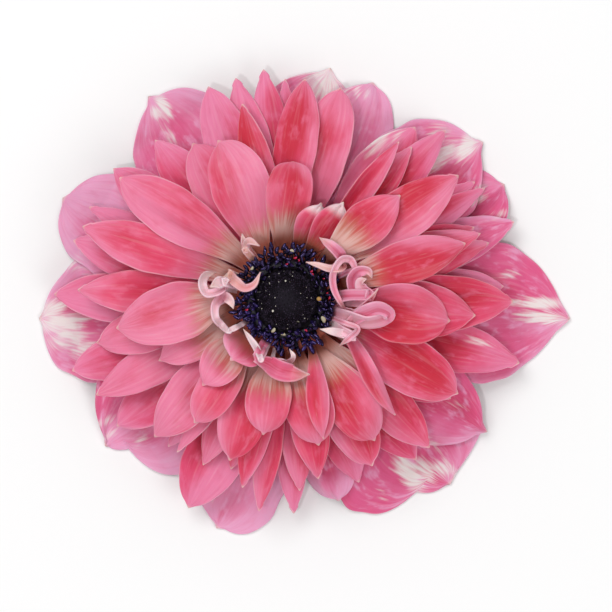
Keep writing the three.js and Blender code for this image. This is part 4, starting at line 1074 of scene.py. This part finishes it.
# %% A turned form
def turned_form(outline, around=96):
    """A turned solid whose outline starts and ends on the axis"""
    turn = np.linspace(0, 2 * np.pi, around, endpoint=False)
    rings = np.array(outline)[1:-1]
    points = round_axis(rings[:, :1], turn, rings[:, 1:])
    faces = [*squares(len(rings), around, closed=(1,))]
    last, low, high = (len(rings) - 1) * around, len(points), len(points) + 1
    for k in range(0, around, 2):
        n = (k + 2) % around
        faces.append((low, n, k + 1, k))
        faces.append((high, last + k, last + k + 1, last + n))
    points = np.concatenate([points, [(0, 0, outline[0][1]), (0, 0, outline[-1][1])]])
    return points, np.array(faces), {}


# %% The dome
DOME_RADIUS = 5.5
DOME_HEIGHT = 5.2
DOME_SKIRT = 0.3
TIP_ROOM = 0.25  # the dome under the tips is smaller by this


def dome_at(polar):
    """Radius and height of the dome at an angle above its edge"""
    return ((DOME_RADIUS - TIP_ROOM) * math.cos(polar) ** 0.8,
            CENTRE_FLOOR + DOME_SKIRT + (DOME_HEIGHT - TIP_ROOM) * math.sin(polar) ** 1.1)


def on_dome(polar, azimuth):
    """A place on the dome, and the direction straight out of it"""
    radius, height = dome_at(polar)
    at = np.array([radius * math.cos(azimuth), radius * math.sin(azimuth), height])
    out = at - (0, 0, CENTRE_FLOOR + 0.4)
    return at, out / np.linalg.norm(out)


# %% Build the pistil
TIP_COUNT = 1000
TIP_HEIGHT = 0.34
TIP_WIDTH = 0.27
TIP_SHAPE = ((-0.2, 0.45, 0.85, 1.0), (0.9, 1.0, 0.7, 0.25))  # shares of the height and of the width
POLLEN_COUNT = 34


def pistil_parts():
    random = np.random.default_rng(11)
    outline = [(0, CENTRE_FLOOR), (DOME_RADIUS - TIP_ROOM, CENTRE_FLOOR)]
    outline += [dome_at(i / 24 * np.pi / 2) for i in range(24)]
    parts = [turned_form([*outline, (0, CENTRE_FLOOR + DOME_SKIRT + DOME_HEIGHT - TIP_ROOM)], 64)]
    for i in range(TIP_COUNT):
        polar = math.asin(1 - (i + 0.5) / TIP_COUNT * 0.97)
        at, out = on_dome(polar, i * GOLDEN_ANGLE)
        lean = out + random.uniform(-0.2, 0.2, 3)
        tall = TIP_HEIGHT * random.uniform(0.7, 1.1) / np.linalg.norm(lean)
        centres = at + np.outer(TIP_SHAPE[0], lean) * tall
        part = swept(centres, np.tile(lean, (4, 1)), TIP_WIDTH / 2 * np.array(TIP_SHAPE[1]), 6)
        part[2]["shade"] = np.full(len(part[0]), random.random())
        parts.append(part)
    spots = [*zip(np.arcsin(random.uniform(0.25, 0.99, POLLEN_COUNT)),
                  random.uniform(0, 2 * np.pi, POLLEN_COUNT), random.uniform(0.07, 0.15, POLLEN_COUNT))]
    spots += [(1.05, math.radians(218), 0.34), (1.0, math.radians(94), 0.28)]
    for polar, azimuth, size in spots:
        at, out = on_dome(polar, azimuth)
        parts.append(grain(at + out * TIP_HEIGHT, (0.3, 1, 0.1), 1.3 * size, size,
                           sides=6, rings=5, pale=1))
    parts.append(grain((5.75, 0.2, STAMEN_TOP - 0.7), (1, 0, 0), 0.85, 0.8, lobed=0, tan=1))
    return parts


pistil = make_piece("pistil_fine", "pistil", pistil_parts())
print(TIP_COUNT, "tips on a dome", 2 * DOME_RADIUS, "mm wide")

# %% [markdown]
# ## Receptacle
# Under the whorls sits the green receptacle, and below it the short stub of the cut stem. Both are
# turned round forms with fine ribs. Between the stamens the receptacle turns nearly black.

# %% Build the receptacle
COLUMN_RADIUS = 6.9
COLUMN_TOP = 14.6
STEM_RADIUS = 2.4
STEM_END = 0.8
STEM_RIBS = 18
RIB_DEPTH = 0.02
DARK_FROM = 13.5  # height from which the receptacle is dark
RECEPTACLE_OUTLINE = [
    (0.0, STEM_END), (0.8, STEM_END), (1.6, STEM_END), (STEM_RADIUS - 0.2, STEM_END),
    (STEM_RADIUS, STEM_END + 0.2), (STEM_RADIUS, 2.2), (2.7, 2.5), (3.2, 2.75), (4.6, 3.0),
    (COLUMN_RADIUS - 1.2, 3.3), (6.5, 3.7), (COLUMN_RADIUS, 4.2), (COLUMN_RADIUS, 8.0),
    (COLUMN_RADIUS, DARK_FROM), (COLUMN_RADIUS, COLUMN_TOP - 0.4), (COLUMN_RADIUS - 0.4, COLUMN_TOP),
    (3.0, COLUMN_TOP), (0.0, COLUMN_TOP),
]
form, form_faces, _ = turned_form(RECEPTACLE_OUTLINE)
turn = np.arctan2(form[:, 1], form[:, 0])
rib = 1 - RIB_DEPTH * (0.5 + 0.5 * np.cos(STEM_RIBS * turn)) * (np.hypot(form[:, 0], form[:, 1]) > 2)
form[:, :2] *= rib[:, None]
dark = dict(dark=(form[:, 2] > DARK_FROM).astype(float))
receptacle = make_piece("receptacle_fine", "receptacle", [(form, form_faces, dark)])

# %% [markdown]
# ## Materials: the tools
# Colours are written as sRGB hex values, as a picker shows them, and one function turns them to the
# linear numbers that a shader needs. One more function adds a node with its settings and links.

# %% Colour and node helpers
def linear(hex_colour):
    channels = [int(hex_colour[i:i + 2], 16) / 255 for i in (1, 3, 5)]
    return (*(c / 12.92 if c <= 0.04045 else ((c + 0.055) / 1.055) ** 2.4 for c in channels), 1.0)


def node(tree, kind, settings=None, inputs=None):
    """Adds a node: settings are its properties, inputs are values or the sockets linked to them"""
    made = tree.nodes.new(kind)
    for name, value in (settings or {}).items():
        setattr(made, name, value)
    for name, value in (inputs or {}).items():
        socket = made.inputs[name]
        if isinstance(value, bpy.types.NodeSocket):
            tree.links.new(value, socket)
        else:
            socket.default_value = value
    return made


# Settings that many nodes share.
MULTIPLY_ADD = dict(operation="MULTIPLY_ADD")
SMOOTHLY = dict(interpolation_type="SMOOTHSTEP")
COLOURS = dict(data_type="RGBA")


def new_material(name):
    material = bpy.data.materials.new(name)
    material.use_nodes = True
    tree = material.node_tree
    tree.nodes.clear()
    return material, tree


# %% [markdown]
# ## Petal tissue
# A petal is a thin layer of water-filled cells under a waxy skin, with a surface of tiny domed cells
# that gives it a silky, almost matt face. Its colour is coral pink with drifts of a paler and cooler
# pink, deep red in its heart, and pale and then rust-brown towards the claw. Light and shade are
# painted
# into it as well: one side of each petal paler and the other deeper, deeper red in creases and hollows,
# more rust-brown as painted shade beside the stamens, and a light rim that is partly the paler thin
# margin and partly a painted highlight.

# %% Sizes in the tissue, in mm across and along the petal
VEIN = (0.6, 12.0, 1.0)  # a little wider than real veins, so that they show
STREAK = (0.7, 5.0, 1.0)  # of cream
CLOUD = (4, 7, 1)  # where the flush of colour comes and goes
MOTTLE = (1.7, 3.4, 1.0)  # where groups of cells hold more or less colour
SKIN_GRAIN = 2600.0  # grains of 0.4 mm: the real domed cells are ten times finer and wouldn't show
print("veins", VEIN[0], "mm apart")

# %% Material of the petals
PETAL_IOR = 1.42  # plant tissue, mostly water
CLAW = "#C47C66"
RIM = "#F6D9DF"
FACTS = ("plan_u", "plan_v", "margin", "out", "claw", "blush", "deep", "tip", "cream", "underside",
         "white", "tan")


def petal_tissue(name, body, blush, deep, back, claw_end, rim_share, mottled):
    """Tints laid over one another, each from the facts of its place and the noises of the cells"""
    material, tree = new_material(name)
    fact = {f: node(tree, "ShaderNodeAttribute", dict(attribute_name=f)).outputs["Fac"] for f in FACTS}
    plan = node(tree, "ShaderNodeCombineXYZ", {}, {"X": fact["plan_u"], "Y": fact["plan_v"]}).outputs[0]
    noises = {}
    for kind, size in (("veins", VEIN), ("streaks", STREAK), ("clouds", CLOUD), ("mottles", MOTTLE)):
        at = node(tree, "ShaderNodeVectorMath", dict(operation="DIVIDE"), {0: plan, 1: size}).outputs[0]
        noise = node(tree, "ShaderNodeTexNoise", {}, {"Vector": at, "Scale": 1.0, "Detail": 3.0})
        noises[kind] = noise.outputs["Fac"]
    place = node(tree, "ShaderNodeTexCoord").outputs["Object"]
    fine = node(tree, "ShaderNodeTexNoise", {}, {"Vector": place, "Scale": SKIN_GRAIN, "Detail": 3.0})
    sums = {}
    for label, noise, share, value in (
        ("blush", "clouds", 0.9, "blush"), ("deep", "streaks", 0.6, "deep"),
        ("cream", "streaks", 1.7, "cream"), ("claw", "streaks", 5.0, "claw"),
        ("root", "veins", 1.5, "out"), ("pale", "veins", 12.0, "claw"),
        ("rim", "clouds", 0.4, "margin"),
    ):
        sums[label] = node(tree, "ShaderNodeMath", MULTIPLY_ADD,
                           {0: noises[noise], 1: share, 2: fact[value]}).outputs[0]
    colour = linear(body)
    layers = [  # value, where the tint starts and is full, its strength and its colour
        # blush holds each petal's painted highlight side, deep its painted shade side and the painted
        # shade of its creases
        (sums["blush"], 0.45, 1.35, 1.0, blush),
        (sums["deep"], 0.35, 1.1, 0.9, deep),
        (noises["mottles"], 0.5, 0.72, mottled, blush),
        (noises["mottles"], 0.48, 0.25, 0.16, deep),
        (noises["veins"], 0.5, 0.7, 0.12, deep),
        (noises["veins"], 0.5, 0.3, 0.09, RIM),
        (sums["claw"], claw_end + 4.0, claw_end - 1.5, 0.85, CLAW),
        (sums["pale"], claw_end + 5.5, claw_end + 1.0, 0.6, "#E7CCC6"),  # pale streaks beyond the claw
        (sums["root"], 14.5, 11.3, 0.85, "#A24A30"),  # rust-brown at its foot, partly painted shade beside the stamens
        (fact["white"], 0.0, 1.0, 0.8, "#F6E4E6"),
        (fact["tan"], 0.0, 1.0, 0.7, "#E5C39C"),
        (sums["cream"], 1.1, 1.9, 0.88, "#EFEAE6"),
        # light rim: partly the paler thin margin, partly a painted highlight on the edges
        (sums["rim"], 0.38, 0.18, rim_share, RIM),
        (fact["tip"], 0.2, 1.0, 0.5, "#EBD9C0"),  # the dry tip
        (fact["underside"], 0.0, 1.0, 0.5, back),
    ]
    for value, start, end, strength, tint in layers:
        share = node(tree, "ShaderNodeMapRange", SMOOTHLY, {
            "Value": value, "From Min": start, "From Max": end, "To Max": strength}).outputs[0]
        tints = {0: share, 6: colour, 7: linear(tint)}
        colour = node(tree, "ShaderNodeMix", COLOURS, tints).outputs[2]
    domes = {0: fine.outputs["Fac"], 1: 0.3, 2: noises["veins"]}
    height = node(tree, "ShaderNodeMath", MULTIPLY_ADD, domes).outputs[0]
    bump = node(tree, "ShaderNodeBump", {}, {"Strength": 0.4, "Distance": 0.1 * MM, "Height": height})
    silk = {"Value": noises["veins"], "To Min": 0.5, "To Max": 0.7}
    roughness = node(tree, "ShaderNodeMapRange", {}, silk).outputs[0]
    shader = node(tree, "ShaderNodeBsdfPrincipled", {}, {
        "Base Color": colour, "Roughness": roughness, "Normal": bump.outputs[0], "IOR": PETAL_IOR,
        "Specular IOR Level": 0.3, "Sheen Weight": 0.06, "Sheen Roughness": 0.5,
        "Subsurface Weight": 0.15, "Subsurface Radius": (1.0, 0.3, 0.4), "Subsurface Scale": MM})
    node(tree, "ShaderNodeOutputMaterial", {}, {"Surface": shader.outputs[0]})
    return material


# %% Colours of each whorl
PETAL_COLOURS = [  # body, blush, deep, underside, mm where the claw ends, share of rim, mottling
    ("outer_tepals", "#DF5C8C", "#EAA2C6", "#D0426C", "#E0A3B8", 11, 0.3, 0.8),
    ("lower_petals", "#DC466F", "#E982A8", "#C52B43", "#DD829E", 12, 0.3, 0.4),
    ("middle_petals", "#DC4166", "#E87EA0", "#C4283E", "#DD829E", 13, 0.3, 0.4),
    ("upper_petals", "#DD4165", "#E87FA1", "#C4283C", "#DD829E", 15.5, 0.3, 0.4),
    ("inner_petals", "#DD4566", "#E882A2", "#C62B40", "#DD869E", 17, 0.2, 0.4),
    ("curled_petals", "#E0668A", "#EC9DBA", "#C93E60", "#E8A5BC", 11, 0.25, 0.4),
]
for name, *colours in PETAL_COLOURS:
    whorls[name].data.materials.append(petal_tissue(f"petal_tissue_{name}", *colours))
print(len(PETAL_COLOURS), "tissues")

# %% [markdown]
# ## Anthers, filaments and pistil
# The anthers are blue-black with violet painted highlights, more of them on one side of the ring, and
# a few have turned red or pale. The filaments are dark and smooth. The dome is covered in velvety
# papillae, so it stays nearly black, with a few pale dots of pollen.

# %% Materials of the middle
WAXY_IOR = 1.45
FINE_MOTTLE, COARSE_MOTTLE = 1800.0, 900.0  # of 0.6 and 1.1 mm, coarser than real cells, so they show


def skin(name, dark, light, roughness, flecks=(), sheen=0.0, grain_scale=FINE_MOTTLE, gloss=0.5,
         tint="#FFFFFF", light_from=0.5):
    """Living skin in two shades, chosen by each grain's own shade and a fine mottle"""
    material, tree = new_material(name)
    shade = node(tree, "ShaderNodeAttribute", dict(attribute_name="shade")).outputs["Fac"]
    place = node(tree, "ShaderNodeTexCoord").outputs["Object"]
    noise = node(tree, "ShaderNodeTexNoise", {}, {"Vector": place, "Scale": grain_scale, "Detail": 3.0})
    mottle = noise.outputs["Fac"]
    mixed = node(tree, "ShaderNodeMath", MULTIPLY_ADD, {0: shade, 1: 0.6, 2: mottle}).outputs[0]
    share = node(tree, "ShaderNodeMapRange", SMOOTHLY,
                 {"Value": mixed, "From Min": light_from, "From Max": light_from + 0.65}).outputs[0]
    tints = {0: share, 6: linear(dark), 7: linear(light)}
    colour = node(tree, "ShaderNodeMix", COLOURS, tints).outputs[2]
    for fact, fleck in flecks:
        amount = node(tree, "ShaderNodeAttribute", dict(attribute_name=fact)).outputs["Fac"]
        tints = {0: amount, 6: colour, 7: linear(fleck)}
        colour = node(tree, "ShaderNodeMix", COLOURS, tints).outputs[2]
    bump = node(tree, "ShaderNodeBump", {}, {"Strength": 0.5, "Distance": 0.12 * MM, "Height": mottle})
    shader = node(tree, "ShaderNodeBsdfPrincipled", {}, {
        "Base Color": colour, "Roughness": roughness, "Normal": bump.outputs[0], "IOR": WAXY_IOR,
        "Specular Tint": linear(tint), "Specular IOR Level": gloss,
        "Sheen Weight": sheen, "Sheen Roughness": 0.4, "Sheen Tint": linear("#8C86D8")})
    node(tree, "ShaderNodeOutputMaterial", {}, {"Surface": shader.outputs[0]})
    return material


# the violet second tone of the anthers is a painted highlight
anthers.data.materials.append(skin("anther_skin", "#07050D", "#34266B", 0.18, gloss=1.0, tint="#B29CF6",
                                   light_from=0.78, flecks=(("red", "#B01E2E"), ("pale", "#B9B391"))))
filaments.data.materials.append(skin("filament_skin", "#120E1E", "#231A30", 0.5))
pistil.data.materials.append(skin("pistil_velvet", "#09060B", "#3A3142", 0.6, gloss=0.3, tint="#D9CCE6",
                                  light_from=0.6, flecks=(("pale", "#D2CEC2"), ("tan", "#B08A4E"))))
receptacle.data.materials.append(skin("receptacle_skin", "#6E7F3C", "#9AA861", 0.6, sheen=0.1,
                                      grain_scale=COARSE_MOTTLE, flecks=(("dark", "#1A1016"),)))

# %% [markdown]
# ## Floor and light
# The bloom lies on a plain white sheet under soft light from all round, as on a light table. A large
# softbox from the upper left gives the petals their form, a weaker one from the lower right and the
# pale sky fill the shadows, and a small lamp overhead puts glints on the anthers.

# %% Floor, world and lights
FLOOR_HALF = 1.5
SKY_STRENGTH = 0.52
floor_mesh = bpy.data.meshes.new("floor")
corners = [(x * FLOOR_HALF, y * FLOOR_HALF, 0) for x, y in ((-1, -1), (1, -1), (1, 1), (-1, 1))]
floor_mesh.from_pydata(corners, [], [(0, 1, 2, 3)])
floor = bpy.data.objects.new("floor", floor_mesh)
floor.location = (0, 0, -0.2 * MM)  # just under the lowest tepals
bpy.context.scene.collection.objects.link(floor)
paper, paper_tree = new_material("white_paper")
paper_shader = node(paper_tree, "ShaderNodeBsdfPrincipled", {}, {
    "Base Color": linear("#F7F7F7"), "Roughness": 0.9, "Specular IOR Level": 0.1})
node(paper_tree, "ShaderNodeOutputMaterial", {}, {"Surface": paper_shader.outputs[0]})
floor_mesh.materials.append(paper)

world = bpy.data.worlds.new("studio")
bpy.context.scene.world = world
world.use_nodes = True
sky = world.node_tree.nodes["Background"].inputs
sky["Color"].default_value = linear("#FFFFFF")
sky["Strength"].default_value = SKY_STRENGTH


def softbox(name, place, power, size):
    """An area light that looks at the bloom"""
    light = bpy.data.lights.new(name, "AREA")
    light.energy = power
    light.shape = "DISK"
    light.size = size
    box = bpy.data.objects.new(name, light)
    box.location = place
    box.rotation_mode = "QUATERNION"
    box.rotation_quaternion = (-Vector(place)).to_track_quat("-Z", "Y")
    bpy.context.scene.collection.objects.link(box)


softbox("key", (-0.28, 0.36, 0.8), power=3.0, size=0.5)
softbox("fill", (0.42, -0.36, 0.7), power=1.4, size=0.5)
softbox("glint", (-0.12, -0.1, 0.9), power=1.2, size=0.05)
bpy.context.scene.view_settings.view_transform = "Standard"
print("sky", SKY_STRENGTH, "and three lights")
